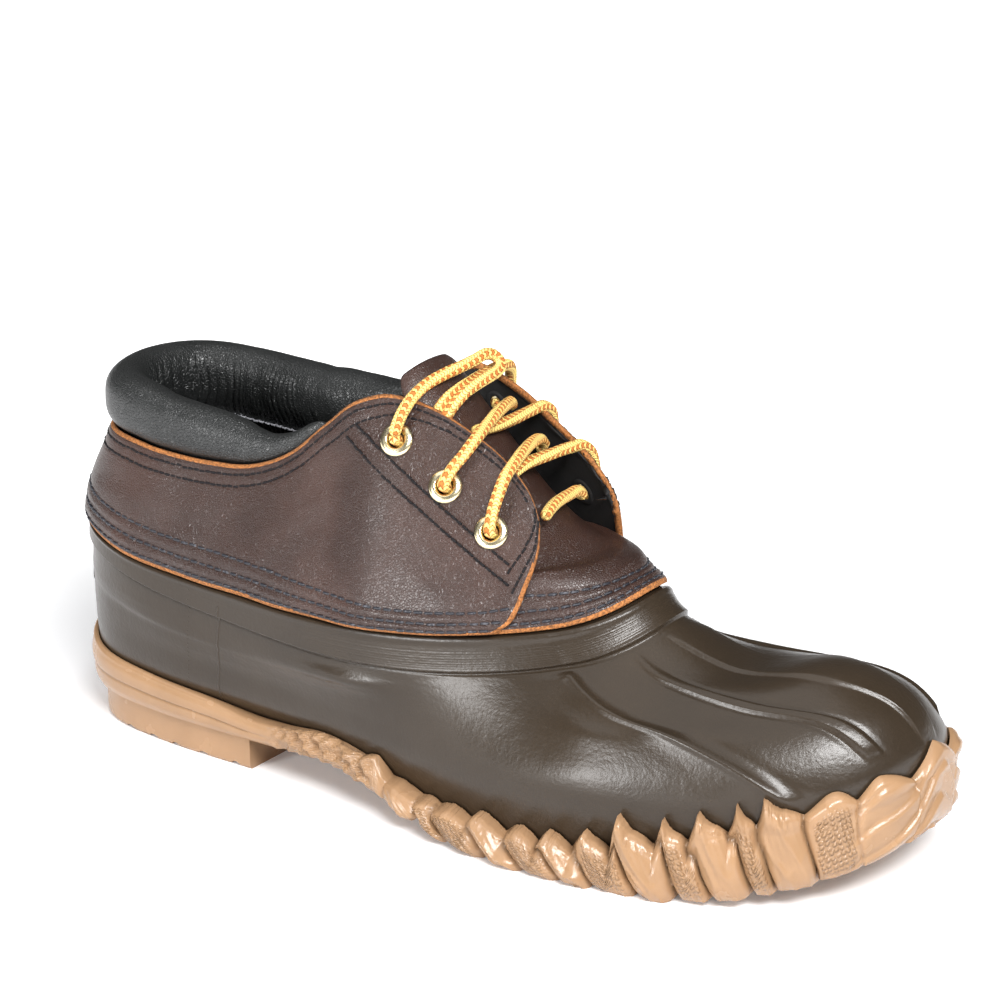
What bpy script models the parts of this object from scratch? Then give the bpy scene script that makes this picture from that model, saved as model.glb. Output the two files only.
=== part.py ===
"""Low three-eyelet boot for the right foot: rubber bottom, leather top, padded collar, moulded gum sole.

Metres, +Z up, +X to the toe, +Y to the inner (medial) side, floor at Z = 0, origin under the boot's middle.
Tables hold millimetres at the reference size and are scaled by the driving dimensions below.
"""

import math

import bmesh
import bpy
import numpy as np
from mathutils import Matrix, Vector

# Driving dimensions, in millimetres
BOOT_LENGTH = 306.1
BALL_WIDTH = 105.8
COLLAR_HEIGHT = 119.0
RUBBER_WALL = 2.6
LEATHER = 2.1
GAP = 0.3
LAP_GAP = 0.8
LACE_DIAMETER = 3.8
JOIN = 1e-6
SHARP = math.radians(40.0)

# The size that the tables are drawn at, and the scale from it to the driving dimensions
REFERENCE = np.array([306.1, 105.8, 119.0])
MM = 0.001
SCALE = np.array([BOOT_LENGTH, BALL_WIDTH, COLLAR_HEIGHT]) / REFERENCE

# Stations round a ring of the form, in degrees from the heel's back by either side to the toe
STATIONS = {"back": 0.0, "heel": 45.0, "waist": 72.0, "ball": 112.0, "toe": 145.0, "front": 180.0}
HEEL_RADIUS = 39.0

# The form is a stack of rings. back and front are where a ring crosses the middle plane, heel to toe are
# half widths at the stations, round is the radius of its front, lean is how far it leans to the outer side
# over the forefoot, and the z columns are heights.
RING_COLUMNS = ("back", "front", "heel", "waist", "ball", "toe", "round", "lean",
                "z_back", "z_waist", "z_ball", "z_toe", "z_front")
RINGS = {
    "feather": (-0.5, 289.0, 31.5, 32.0, 43.0, 33.0, 40.0, 0.0, 15.0, 15.5, 4.0, 12.0, 24.0),
    "girth": (-3.0, 296.0, 36.5, 38.0, 48.5, 38.0, 44.0, 0.0, 27.0, 24.0, 21.0, 29.0, 39.0),
    "flank": (-3.8, 294.0, 37.5, 39.5, 48.0, 37.5, 42.0, 0.5, 37.0, 33.0, 32.0, 39.0, 48.0),
    "shoulder": (-4.0, 284.5, 38.0, 40.5, 45.0, 32.5, 34.0, 1.5, 44.0, 37.5, 42.0, 49.5, 58.0),
    "crown": (-4.0, 266.0, 38.0, 41.0, 43.0, 28.0, 30.0, 3.0, 49.0, 40.5, 45.5, 53.0, 63.5),
    "saddle": (-4.0, 240.0, 38.0, 41.0, 41.5, 24.5, 25.0, 4.0, 53.0, 43.0, 47.5, 56.5, 60.0),
    "band_low": (-3.8, 216.5, 37.5, 40.5, 39.0, 25.5, 22.0, 4.5, 57.5, 48.0, 50.5, 59.0, 69.5),
    "band_top": (-3.0, 209.0, 37.0, 40.0, 38.0, 24.5, 22.0, 4.5, 68.5, 60.0, 61.5, 67.5, 75.5),
    "rim": (-0.2, 199.0, 34.5, 36.5, 35.5, 23.0, 22.0, 4.0, 82.0, 75.0, 75.0, 78.0, 80.0),
    "ankle": (8.0, 188.0, 27.5, 27.0, 26.5, 16.0, 20.0, 1.2, 100.0, 100.0, 104.0, 101.0, 98.0),
    "top": (12.0, 160.0, 23.0, 22.0, 21.5, 13.0, 16.0, -3.5, 126.0, 126.0, 129.0, 124.0, 118.0),
}
LEAN_START, LEAN_FULL = 50.0, 110.0
# Small steps, in degrees, rows and shares, that directions are measured over
NUDGE_ANGLE, NUDGE_ROW, NUDGE_SHARE = 0.05, 0.01, 0.004
SEARCH_ROUNDS = 40
ROW = {name: float(index) for index, name in enumerate(RINGS)}

# The middle line of the foot: how far it swings to the inner side at points along the length
SWING = {0.0: 0.0, 60.0: 0.0, 115.0: -3.0, 200.0: -2.0, 300.0: 5.0}


def smooth(knots, values, at, flat=True):
    """Cubic curve through values at rising knots, read at `at`; flat at its ends unless told otherwise."""
    knots = np.asarray(list(knots), float)
    at = np.asarray(at, float)
    values = np.stack([np.broadcast_to(np.asarray(v, float), at.shape) for v in values])
    step = np.diff(knots).reshape([-1] + [1] * at.ndim)
    slope = np.diff(values, axis=0) / step
    tangent = np.zeros_like(values)
    tangent[1:-1] = (slope[:-1] * step[1:] + slope[1:] * step[:-1]) / (step[1:] + step[:-1])
    if not flat:
        tangent[0], tangent[-1] = slope[0], slope[-1]
    index = np.clip(np.searchsorted(knots, at, side="right") - 1, 0, len(knots) - 2)

    def pick(rows, i):
        return np.take_along_axis(rows, i[None], 0)[0]

    width = knots[index + 1] - knots[index]
    t = (at - knots[index]) / width
    low, high = pick(values, index), pick(values, index + 1)
    rise, fall = pick(tangent, index) * width, pick(tangent, index + 1) * width
    return (low * (1 + 2 * t) * (1 - t) ** 2 + rise * t * (1 - t) ** 2
            + high * t * t * (3 - 2 * t) + fall * t * t * (t - 1))


def ramp(low, high, at):
    """0 below low, 1 above high, and an S-curve between them."""
    t = np.clip((np.asarray(at, float) - low) / (high - low), 0.0, 1.0)
    return t * t * (3 - 2 * t)


def middle_line(x):
    """How far the foot's middle line stands to the inner side at a length."""
    return smooth(SWING.keys(), SWING.values(), np.clip(x, min(SWING), max(SWING)))


def ring_point(angle, row):
    """Form points in table millimetres: angle in degrees from the heel's back, row counted up RINGS."""
    angle, row = np.broadcast_arrays(np.asarray(angle, float), np.asarray(row, float))
    table = np.array(list(RINGS.values())).T
    size = {name: smooth(range(len(RINGS)), column, row, flat=False)
            for name, column in zip(RING_COLUMNS, table)}
    folded = np.abs((angle + 180.0) % 360.0 - 180.0)
    outer = (angle % 360.0) <= 180.0
    turn = np.radians(folded)
    length = size["front"] - size["back"]
    x = size["back"] + length * (1 - np.cos(turn)) / 2
    fullness = [np.sqrt(HEEL_RADIUS * length / 2)]
    fullness += [size[name] / math.sin(math.radians(STATIONS[name])) for name in list(STATIONS)[1:-1]]
    fullness += [np.sqrt(size["round"] * length / 2)]
    half = smooth(STATIONS.values(), fullness, folded) * np.sin(turn)
    heights = [name for name in STATIONS if name != "heel"]
    z = smooth([STATIONS[name] for name in heights], [size["z_" + name] for name in heights], folded)
    middle = middle_line(x) - size["lean"] * ramp(LEAN_START, LEAN_FULL, folded)
    return np.stack([x, middle + np.where(outer, -half, half), z], -1)


def form_normal(angle, row):
    """Outward unit normal of the form."""
    along = ring_point(angle + NUDGE_ANGLE, row) - ring_point(angle - NUDGE_ANGLE, row)
    up = ring_point(angle, row + NUDGE_ROW) - ring_point(angle, row - NUDGE_ROW)
    normal = np.cross(along, up)
    return normal / np.linalg.norm(normal, axis=-1, keepdims=True)


def form(angle, row, out=0.0):
    """A point `out` millimetres outside the form."""
    return ring_point(angle, row) + form_normal(angle, row) * np.asarray(out, float)[..., None]


def locate(x, z, row=ROW["ankle"]):
    """(angle, row) of the outer side's form point at that length and height in table millimetres."""
    place = np.array([90.0, row])
    longest = np.array([8.0, 0.5])
    for _ in range(SEARCH_ROUNDS):
        here = ring_point(*place)
        miss = np.array([x, z]) - here[[0, 2]]
        nudges = np.diag([NUDGE_ANGLE, NUDGE_ROW])
        grow = np.array([(ring_point(*(place + nudge)) - here)[[0, 2]] / nudge.sum() for nudge in nudges]).T
        place = place + np.clip(np.linalg.solve(grow, miss), -longest, longest)
        place = np.clip(place, [1.0, 0.0], [175.0, len(RINGS) - 1.0])
    return place


def world(points):
    """Table millimetres to metres, with the origin under the middle of the boot."""
    return (np.asarray(points) * SCALE - ORIGIN) * MM


def finish(name, bm, material):
    """Store a bmesh as a named object of the boot."""
    mesh = bpy.data.meshes.new(name)
    bm.to_mesh(mesh)
    bm.free()
    mesh.shade_smooth()
    mesh.set_sharp_from_angle(angle=SHARP)
    mesh.materials.append(material)
    piece = bpy.data.objects.new(name, mesh)
    BOOT.objects.link(piece)
    return piece


def grid(columns, rows, place):
    """A bmesh grid of quads whose corner (i, j) stands at place(i, j); edges that meet are joined."""
    bm = bmesh.new()
    bmesh.ops.create_grid(bm, x_segments=columns, y_segments=rows, size=0.5)
    corner = np.array([vert.co for vert in bm.verts])
    i = np.rint((corner[:, 0] + 0.5) * columns).astype(int)
    j = np.rint((corner[:, 1] + 0.5) * rows).astype(int)
    for vert, point in zip(bm.verts, world(place(i, j))):
        vert.co = point
    bmesh.ops.remove_doubles(bm, verts=bm.verts, dist=JOIN)
    return bm


# Rubber bottom: the grid's columns, in degrees of one side, and three ribs of each side of the toe, outer to
# middle: the columns they lie on, their half widths, their heights and their angle at each ring
RUBBER_COLUMNS = (0, 8, 17, 27, 38, 50, 62, 74, 86, 97, 108, 118, 125, 129, 134, 139, 146, 153.4, 156, 158.6,
                  165, 171.2, 172.8, 180)
RUBBER_ROWS = (0.0, 0.6, 1.2, 2.0, 2.7, 3.4, 4.1, 4.8, 5.5, 5.92, 6.04, 6.9, 7.0, 8.0)
RIB_HOME = (134.0, 156.0, 172.0)
RIB_HALF = (5.0, 2.6, 0.8)
RIB_HEIGHT = (1.3, 1.1, 0.8)
RIB_PATH = {
    "feather": (147.0, 168.0, 178.0),
    "girth": (147.0, 167.5, 178.0),
    "flank": (142.0, 165.0, 177.0),
    "shoulder": (133.0, 160.5, 175.0),
    "crown": (130.0, 153.0, 171.0),
    "saddle": (133.5, 152.5, 171.5),
    "band_low": (143.0, 160.0, 170.5),
    "band_top": (143.0, 160.0, 170.5),
    "rim": (143.0, 160.0, 170.5),
}
RIB_FREE = 100.0
RIB_FOOT = (1.6, 2.4)
RIB_HEAD = (5.6, 5.95)
BAND_STEP = 1.3
BAND_ROWS = (6.0, 6.95)


def bend_to_ribs(column, row):
    """Angle of a grid column at a row, bent so that the columns at the ribs' homes run along the ribs."""
    column, row = np.broadcast_arrays(np.asarray(column, float), np.asarray(row, float))
    folded = np.minimum(column, 360.0 - column)
    paths = [smooth(range(len(RIB_PATH)), path, row, flat=False) for path in zip(*RIB_PATH.values())]
    home = [0.0, RIB_FREE, *RIB_HOME, 180.0]
    bent = [np.zeros_like(row), np.full_like(row, RIB_FREE), *paths, np.full_like(row, 180.0)]
    angle = np.zeros_like(row)
    for low, high, bent_low, bent_high in zip(home, home[1:], bent, bent[1:]):
        share = (folded - low) / (high - low)
        angle = np.where((share >= 0) & (share <= 1), bent_low + (bent_high - bent_low) * share, angle)
    return np.where(column <= 180.0, angle, 360.0 - angle)


def rubber_relief(column, row):
    """Height of the ribs and of the top band over the rubber's form."""
    folded = np.minimum(column, 360.0 - column)
    (outer, mid, centre), (outer_half, mid_half, centre_half) = RIB_HOME, RIB_HALF
    ribs = RIB_HEIGHT[0] * np.clip(1 - np.abs(folded - outer) / outer_half, 0, 1)
    ribs = ribs + RIB_HEIGHT[1] * np.clip(1 - np.abs(folded - mid) / mid_half, 0, 1)
    ribs = ribs + RIB_HEIGHT[2] * ramp(centre - centre_half, centre + centre_half, folded)
    ribs = ribs * ramp(*RIB_FOOT, row) * (1 - ramp(*RIB_HEAD, row))
    band = BAND_STEP * ((row > BAND_ROWS[0]) & (row < BAND_ROWS[1]))
    return ribs + band


def rubber_point(column, row):
    """A point of the rubber's outer face."""
    return form(bend_to_ribs(column, row), row, rubber_relief(column, row))


def thicken(piece, thickness):
    """Give an open surface a wall on its inner side."""
    wall = piece.modifiers.new("wall", "SOLIDIFY")
    wall.thickness = thickness * MM
    wall.offset = -1.0
    wall.use_even_offset = True
    return piece


def make_rubber_bottom():
    """The hollow rubber bottom, open at its rim and underneath."""
    half = np.array(RUBBER_COLUMNS, float)
    columns = np.concatenate([half, 360.0 - half[-2::-1]])
    rows = np.array(RUBBER_ROWS)
    bm = grid(len(columns) - 1, len(rows) - 1, lambda i, j: rubber_point(columns[i], rows[j]))
    return thicken(finish("rubber_bottom", bm, RUBBER), RUBBER_WALL)


# Quarter: its edges on the form as lengths and heights seen from the side
QUARTER_TOP = {9.5: 100.5, 20.0: 99.5, 40.0: 98.0, 60.0: 97.5, 78.0: 99.5, 92.0: 106.0, 105.0: 117.0,
               115.0: 124.0, 123.0: 126.5, 131.0: 125.5, 150.0: 118.0, 165.0: 109.5, 174.0: 102.0,
               178.5: 95.0}
QUARTER_FRONT = ((175.5, 62.5), (178.0, 70.0), (179.5, 79.0), (180.0, 87.0), (178.5, 95.0))
QUARTER_COLUMNS = 22
HEEL_CROWD = 1.3
QUARTER_ROWS = 8
LAP_ROW = 7.12
VAMP_BACK = 112.0
LAP_START, LAP_FULL = 98.0, 110.0
TOP_SPOTS = np.array([locate(x, z) for x, z in QUARTER_TOP.items()])
TOP_SPOTS[0, 0] = 0.0
FRONT_SPOTS = np.array([locate(x, z) for x, z in QUARTER_FRONT])
FRONT_SPOTS[0, 1] = LAP_ROW


def quarter_spot(along, climb):
    """(angle, row) in the quarter's outer half: along from the heel's back to the front edge, climb up."""
    along, climb = np.asarray(along, float), np.asarray(climb, float)
    lengths = np.array(list(QUARTER_TOP))
    share = (lengths - lengths[0]) / (lengths[-1] - lengths[0])
    low_share = (1 - np.cos(np.radians(FRONT_SPOTS[0, 0]))) / 2

    def top(s):
        return np.stack([smooth(share, column, s, flat=False) for column in TOP_SPOTS.T], -1)

    def front(t):
        return np.stack([smooth(np.linspace(0, 1, len(FRONT_SPOTS)), column, t, flat=False)
                         for column in FRONT_SPOTS.T], -1)

    def low(s):
        return np.stack([np.degrees(np.arccos(1 - 2 * low_share * s)), np.full_like(s, LAP_ROW)], -1)

    def back(t):
        return np.stack([np.zeros_like(t), LAP_ROW + (TOP_SPOTS[0, 1] - LAP_ROW) * t], -1)

    s, t = along[..., None], climb[..., None]
    ruled = (1 - t) * low(along) + t * top(along) + (1 - s) * back(climb) + s * front(climb)
    ends = [end(np.full_like(along, at)) for end, at in ((low, 0.0), (low, 1.0), (top, 0.0), (top, 1.0))]
    corners = (1 - s) * (1 - t) * ends[0] + s * (1 - t) * ends[1] + (1 - s) * t * ends[2] + s * t * ends[3]
    return ruled - corners


def quarter_lift(angle):
    """How far the quarter's inside stands off the form: it laps over the vamp's leather towards the front."""
    folded = np.minimum(angle % 360.0, 360.0 - angle % 360.0)
    return LAP_GAP + (LEATHER + LAP_GAP) * ramp(LAP_START, LAP_FULL, folded)


def quarter_columns(count):
    """Places along the quarter for a number of columns either side of the heel's back, closer together there."""
    columns = np.arange(-count, count + 1) / QUARTER_COLUMNS
    return np.sign(columns) * np.abs(columns) ** HEEL_CROWD


def quarter_point(along, climb, out=LEATHER):
    """A point of the quarter, negative along on the inner side; out is the height over its inside."""
    spot = quarter_spot(np.abs(along), climb)
    angle = np.where(along >= 0, spot[..., 0], 360.0 - spot[..., 0])
    return form(angle, spot[..., 1], quarter_lift(angle) + out)


def make_quarter():
    """The leather quarter that wraps round the heel, open at the collar and the throat."""
    columns = quarter_columns(QUARTER_COLUMNS)
    rows = np.linspace(0.0, 1.0, QUARTER_ROWS + 1)
    bm = grid(len(columns) - 1, len(rows) - 1, lambda i, j: quarter_point(columns[i], rows[j]))
    return thicken(finish("quarter", bm, LEATHER_FINISH), LEATHER)


# Vamp and tongue, one piece of leather. A row for each section up to the tongue's top: its share of the way,
# the length and height of its middle, its half width, and how far its edges sweep back and drop
TONGUE = (
    (0.36, 197.0, 82.3, 35.2, 52.0, 7.0),
    (0.45, 189.0, 84.0, 32.0, 42.0, 5.0),
    (0.56, 179.0, 89.0, 27.2, 30.0, 4.0),
    (0.68, 168.0, 97.5, 24.5, 19.0, 6.0),
    (0.80, 156.0, 108.5, 21.5, 10.0, 8.0),
    (0.90, 145.5, 120.5, 18.5, 6.0, 8.0),
    (1.00, 134.5, 134.0, 15.0, 8.0, 7.0),
)
TONGUE_LEAN = 4.0
VAMP_SHARE = 0.30
TONGUE_FREE = 0.52
VAMP_OVERRUN = 1.6
VAMP_SPRING = 0.6
VAMP_STEPS = 16
VAMP_ACROSS = 14


def vamp_point(share, across, out=0.0):
    """A point `out` outside the vamp: share runs up the foot, across from -1 at the outer side to 1."""
    def face(share, across):
        angle = 180.0 + across * (180.0 - VAMP_BACK)
        climb = np.clip(share / VAMP_SHARE, 0.0, VAMP_OVERRUN)
        row = LAP_ROW + (ROW["rim"] - LAP_ROW) * climb
        lap = form(angle, row, LAP_GAP + LEATHER + VAMP_SPRING * (1 - across ** 2) ** 2)
        knots, *sizes = zip(*TONGUE)
        at = np.maximum(share, knots[0])
        x, z, half, sweep, drop = (smooth(knots, size, at, flat=False) for size in sizes)
        turn = across * math.pi / 2
        lean = 1 - np.cos(turn)
        x = x - sweep * lean
        tongue = np.stack([x, middle_line(x) - TONGUE_LEAN + half * np.sin(turn), z - drop * lean], -1)
        blend = ramp(VAMP_SHARE, TONGUE_FREE, share)[..., None]
        return lap * (1 - blend) + tongue * blend

    share, across = np.broadcast_arrays(np.asarray(share, float), np.asarray(across, float))
    point = face(share, across)
    up = face(share + NUDGE_SHARE, across) - face(share - NUDGE_SHARE, across)
    aside = face(share, across + NUDGE_SHARE) - face(share, across - NUDGE_SHARE)
    normal = np.cross(aside, up)
    normal = normal / np.linalg.norm(normal, axis=-1, keepdims=True)
    return point + normal * np.asarray(out, float)[..., None]


def make_vamp_tongue():
    """The vamp and tongue, which go under the quarter's facings."""
    across = np.linspace(-1.0, 1.0, VAMP_ACROSS + 1)
    shares = np.linspace(0.0, 1.0, VAMP_STEPS + 1)
    bm = grid(VAMP_ACROSS, VAMP_STEPS, lambda i, j: vamp_point(shares[j], across[i]))
    return thicken(finish("vamp_tongue", bm, LEATHER_FINISH), LEATHER)


# Sole: height of its underside along the length, and of its top line round the edge without the lobes
HEEL_HEIGHT = 11.0
SOLE_UNDER = {0.0: HEEL_HEIGHT, 66.0: HEEL_HEIGHT, 84.0: HEEL_HEIGHT, 100.0: 12.0, 116.0: 12.0, 130.0: 9.3,
              142.0: 6.2, 155.0: 2.8, 168.0: 0.5, 176.0: 0.0, 234.0: 0.0, 262.0: 5.5, 284.0: 13.5,
              300.0: 21.0}
SOLE_LINE = {0.0: 30.0, 10.0: 29.0, 22.0: 26.0, 42.0: 23.5, 56.0: 21.2, 65.0: 18.4, 70.0: 19.2, 77.0: 21.6,
             83.0: 18.5, 88.0: 13.0, 94.0: 10.2, 100.0: 9.0, 108.0: 8.2, 114.0: 9.0, 120.0: 11.6, 127.0: 16.6,
             133.0: 20.6, 140.0: 26.0, 150.0: 31.2, 160.0: 35.0, 180.0: 38.0}
# A row for each lobe of the sole's edge: where it starts and where its tip stands, in degrees round the
# edge, and how high the tip rises over the line
LOBES = (
    (83.0, 85.4, 4.5), (87.2, 89.0, 1.6), (92.0, 93.8, 1.4), (94.8, 97.2, 2.4), (99.6, 101.6, 4.6),
    (105.0, 107.2, 4.4), (109.8, 111.4, 5.4), (114.6, 116.4, 7.4), (120.0, 121.0, 13.0), (126.0, 127.2, 9.0),
    (130.8, 132.2, 9.6), (136.6, 138.0, 8.6), (140.8, 142.2, 8.0), (148.6, 154.0, 4.4), (158.6, 163.6, 6.4),
    (172.0, 180.0, 10.0),
)
LOBE_END = 188.0
LOBE_CREASE = 0.9
LOBE_POINT = 1.2
LOBE_STEPS = (0.4, 0.8)
LOBE_LONG = 3.0
# The sole's wall from the ground up: share of its height, and how far it stands off the rubber
WALL = {"tread": (0.0, 2.2), "corner": (0.16, 3.9), "bulge": (0.45, 4.6), "upper": (0.8, 3.8),
        "lip": (1.0, 2.6)}
WALL_LOW_ROW = 0.8
WALL_LEAST = 0.3
HEEL_WALL = 0.6
HEEL_WALL_END = (60.0, 90.0)
HEEL_STATIONS = (0, 8, 17, 27, 38, 50, 62, 68, 74, 80)
# The sole's inside from the lip down to its floor: share of the lip's row, and the gap to the rubber
SEAT = {1.0: 0.5, 0.62: 0.8, 0.3: 0.8, 0.0: 0.5}
SEAT_TOE = 0.6
SEAT_TOE_START, SEAT_TOE_FULL = 120.0, 145.0


def sole_under(x):
    """Height of the sole's underside at a length."""
    x = np.clip(x, min(SOLE_UNDER), max(SOLE_UNDER))
    return np.maximum(smooth(SOLE_UNDER.keys(), SOLE_UNDER.values(), x), 0.0)


def lobe_share(turn):
    """(height share 0 to 1, rise) of the lobe at a place round the edge, and 0 between lobes."""
    turn = np.asarray(turn, float)
    share, rise = np.zeros_like(turn), np.zeros_like(turn)
    ends = [start for start, _, _ in LOBES[1:]] + [LOBE_END]
    for (start, tip, height), end in zip(LOBES, ends):
        inside = (turn >= start) & (turn < end)
        climb = np.where(turn < tip, (turn - start) / (tip - start), (end - turn) / (end - tip))
        share = np.where(inside, np.clip(climb, 0, 1), share)
        rise = np.where(inside, height, rise)
    return share, rise


def sole_lip(turn):
    """Height of the sole's top edge at a place round it."""
    share, rise = lobe_share(turn)
    return smooth(SOLE_LINE.keys(), SOLE_LINE.values(), turn) + rise * share ** LOBE_POINT


def row_at_height(angle, z):
    """Row where the form reaches a height, never below its lowest ring."""
    low, high = np.zeros_like(z), np.full_like(z, ROW["crown"])
    for _ in range(SEARCH_ROUNDS):
        middle = (low + high) / 2
        under = ring_point(angle, middle)[..., 2] < z
        low, high = np.where(under, middle, low), np.where(under, high, middle)
    return low


def sole_wall(turn, inner_side, climb, out):
    """A point of the sole's outer wall, climb from its underside to its lip."""
    turn = np.asarray(turn, float)
    angle = np.where(inner_side, 360.0 - turn, turn)
    under = sole_under(ring_point(angle, np.full_like(turn, 0.5))[..., 0])
    z = under + (sole_lip(turn) - under) * climb
    share, rise = lobe_share(turn)
    crease = LOBE_CREASE * np.where(rise > 0, (1 - share) ** 2, 0.0)
    row = np.maximum(row_at_height(angle, z), WALL_LOW_ROW)
    share = HEEL_WALL + (1 - HEEL_WALL) * ramp(*HEEL_WALL_END, turn)
    point = form(angle, row, GAP + np.maximum(out - crease, WALL_LEAST) * share)
    return np.stack([point[..., 0], point[..., 1], z], -1)


def sole_seat(turn, inner_side, climb, gap):
    """A point of the sole's inside, round the rubber: climb 0 on its floor and 1 at its lip."""
    turn = np.asarray(turn, float)
    angle = np.where(inner_side, 360.0 - turn, turn)
    row = row_at_height(angle, sole_lip(turn)) * climb
    point = form(angle, row, gap + SEAT_TOE * ramp(SEAT_TOE_START, SEAT_TOE_FULL, turn))
    return point - np.array([0.0, 0.0, GAP]) * (1 - climb)


def sole_stations():
    """Places round the edge where the sole has a section: close together at every lobe."""
    ends = [start for start, _, _ in LOBES[1:]] + [180.0]
    turns = [float(turn) for turn in HEEL_STATIONS]
    for (start, tip, _), end in zip(LOBES, ends):
        turns += [start, tip, tip + LOBE_STEPS[0] * (end - tip), tip + LOBE_STEPS[1] * (end - tip)]
        turns += list(np.linspace(start, tip, math.ceil((tip - start) / LOBE_LONG) + 1))
    return np.array(sorted({round(turn, 3) for turn in turns if turn < 180.0} | {180.0}))


def sole_sides():
    """Points of each side of the sole, from its tread over the lip to its floor, at every station."""
    turns = sole_stations()
    sides = []
    for inner_side in (False, True):
        outside = [sole_wall(turns, inner_side, climb, out) for climb, out in WALL.values()]
        inside = [sole_seat(turns, inner_side, climb, gap) for climb, gap in SEAT.items()]
        sides.append(outside + inside)
    return sides


def middle_of_sole():
    """The point of the floor under the middle of the sole's outline."""
    points = np.array(sole_sides()).reshape(-1, 3) * SCALE
    middle = (points.min(0) + points.max(0)) / 2
    return np.array([middle[0], middle[1], 0.0])


def make_outsole():
    """The sole: a tray that the rubber bottom stands in, with an edge of lobes."""
    outer, inner = sole_sides()
    floor = [(outer[-1] + inner[-1]) / 2]
    under = [(inner[0] + outer[0]) / 2]
    loop = np.stack(outer + floor + inner[::-1] + under, 1)
    around = loop.shape[1]
    bm = grid(len(loop) - 1, around, lambda i, j: loop[i, j % around])
    bmesh.ops.recalc_face_normals(bm, faces=bm.faces)
    return finish("outsole", bm, GUM)


# Heel: a block under the back of the sole with grooves across its tread
HEEL_BREAST = 63.0
HEEL_SECTIONS = 14
HEEL_ROW = 0.4
# How far the block's edge stands off the form, by degrees round the heel, and how far it draws in by height
HEEL_FLARE = {0.0: -2.2, 25.0: 0.4, 50.0: 1.8, 63.0: 2.4}
HEEL_INSET = {0.0: 2.2, 0.12: 1.0, 1.0: 0.4}
GROOVES = (11.0, 24.0, 35.5, 46.0, 58.0, 72.0)
GROOVE_WIDTH = 2.6
GROOVE_DEPTH = 1.3


def make_heel():
    """The heel block, flat under the sole and on the floor."""
    turns = np.linspace(0.0, HEEL_BREAST, HEEL_SECTIONS + 1)
    flare = smooth(HEEL_FLARE.keys(), HEEL_FLARE.values(), turns)
    height = HEEL_HEIGHT - GAP
    sides = []
    for angle in (turns, 360.0 - turns):
        side = []
        for climb, inset in HEEL_INSET.items():
            point = form(angle, np.full_like(turns, HEEL_ROW), flare - inset)
            side.append(np.stack([point[:, 0], point[:, 1], np.full_like(turns, height * climb)], -1))
        sides.append(side)
    loop = np.stack(sides[0] + sides[1][::-1], 1)
    around = loop.shape[1]
    bm = grid(HEEL_SECTIONS, around, lambda i, j: loop[i, j % around])
    bmesh.ops.holes_fill(bm, edges=bm.edges)
    bmesh.ops.recalc_face_normals(bm, faces=bm.faces)
    heel = finish("heel", bm, GUM)
    for index, x in enumerate(GROOVES):
        middle = world(np.array([x, 0.0, 0.0]))
        bm = bmesh.new()
        bmesh.ops.create_cube(bm, size=1.0)
        size = np.array([GROOVE_WIDTH, BALL_WIDTH, 2 * GROOVE_DEPTH]) * MM
        for vert in bm.verts:
            vert.co = [c * s + m for c, s, m in zip(vert.co, size, middle)]
        cut(heel, cutter(f"heel_groove_{index + 1}", bm))
    return heel


# Insole: a sheet on the sole's floor, inside the rubber's wall
INSOLE_THICKNESS = 3.6
INSOLE_GAP = 2.8
INSOLE_STATIONS = 22
INSOLE_ACROSS = 4


def make_insole():
    """The insole, bedded on the sole's floor."""
    turns = np.linspace(0.0, 180.0, INSOLE_STATIONS + 1)
    inset = -(RUBBER_WALL + INSOLE_GAP)
    edges = []
    for angle in (turns, 360.0 - turns):
        edge = form(angle, np.zeros_like(turns), np.full_like(turns, inset))
        edge[:, 2] = ring_point(angle, 0.0)[:, 2] + INSOLE_THICKNESS + GAP
        edges.append(edge)
    across = np.linspace(0.0, 1.0, INSOLE_ACROSS + 1)
    bm = grid(INSOLE_STATIONS, INSOLE_ACROSS,
              lambda i, j: edges[0][i] + (edges[1][i] - edges[0][i]) * across[j][:, None])
    return thicken(finish("insole", bm, INSOLE), INSOLE_THICKNESS)


# Collar: a padded roll on the quarter's top edge. Its section is given out from the leather's outer face
# and up from the leather's edge, once round.
COLLAR_SECTION = ((-2.8, -15.0), (-2.8, -7.0), (-2.8, 0.6), (-0.4, 1.2), (1.8, 3.4), (3.6, 8.4), (4.0, 14.0),
                  (1.0, 18.6), (-4.2, 19.8), (-9.2, 16.8), (-11.8, 9.0), (-10.8, 0.0), (-7.6, -9.0),
                  (-5.0, -15.0))
COLLAR_COLUMNS = 14
COLLAR_END = quarter_columns(COLLAR_COLUMNS)[-1]
COLLAR_TAPER = 0.36
COLLAR_INSIDE = -2.8
COLLAR_LEFT = 0.2
COLLAR_PAD_LEFT = 0.56


def collar_scale(along, least):
    """Share of the roll's size, from 1 down to least, towards its front ends."""
    return 1.0 - (1.0 - least) * ramp(COLLAR_TAPER, COLLAR_END, np.abs(along))


def collar_point(along, section):
    """Points of the collar for sections along the quarter's edge; section rows are (out, up)."""
    along = np.asarray(along, float)
    edge = quarter_point(along, np.ones_like(along))
    spot = quarter_spot(np.abs(along), np.ones_like(along))
    angle = np.where(along >= 0, spot[..., 0], 360.0 - spot[..., 0])
    out = form_normal(angle, spot[..., 1])
    ends = [quarter_point(along + step, np.ones_like(along)) for step in (NUDGE_SHARE, -NUDGE_SHARE)]
    up = np.cross(out, ends[0] - ends[1])
    up = up / np.linalg.norm(up, axis=-1, keepdims=True)
    up = np.where(up[..., 2:] < 0, -up, up)
    scale, pad = collar_scale(along, COLLAR_LEFT), collar_scale(along, COLLAR_PAD_LEFT)
    reach, rise = section[..., 0], section[..., 1]
    rise = np.where(rise > 0, rise * scale, rise)
    reach = COLLAR_INSIDE + (reach - COLLAR_INSIDE) * np.where(reach > COLLAR_INSIDE, scale, pad)
    return edge + out * reach[..., None] + up * rise[..., None]


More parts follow.
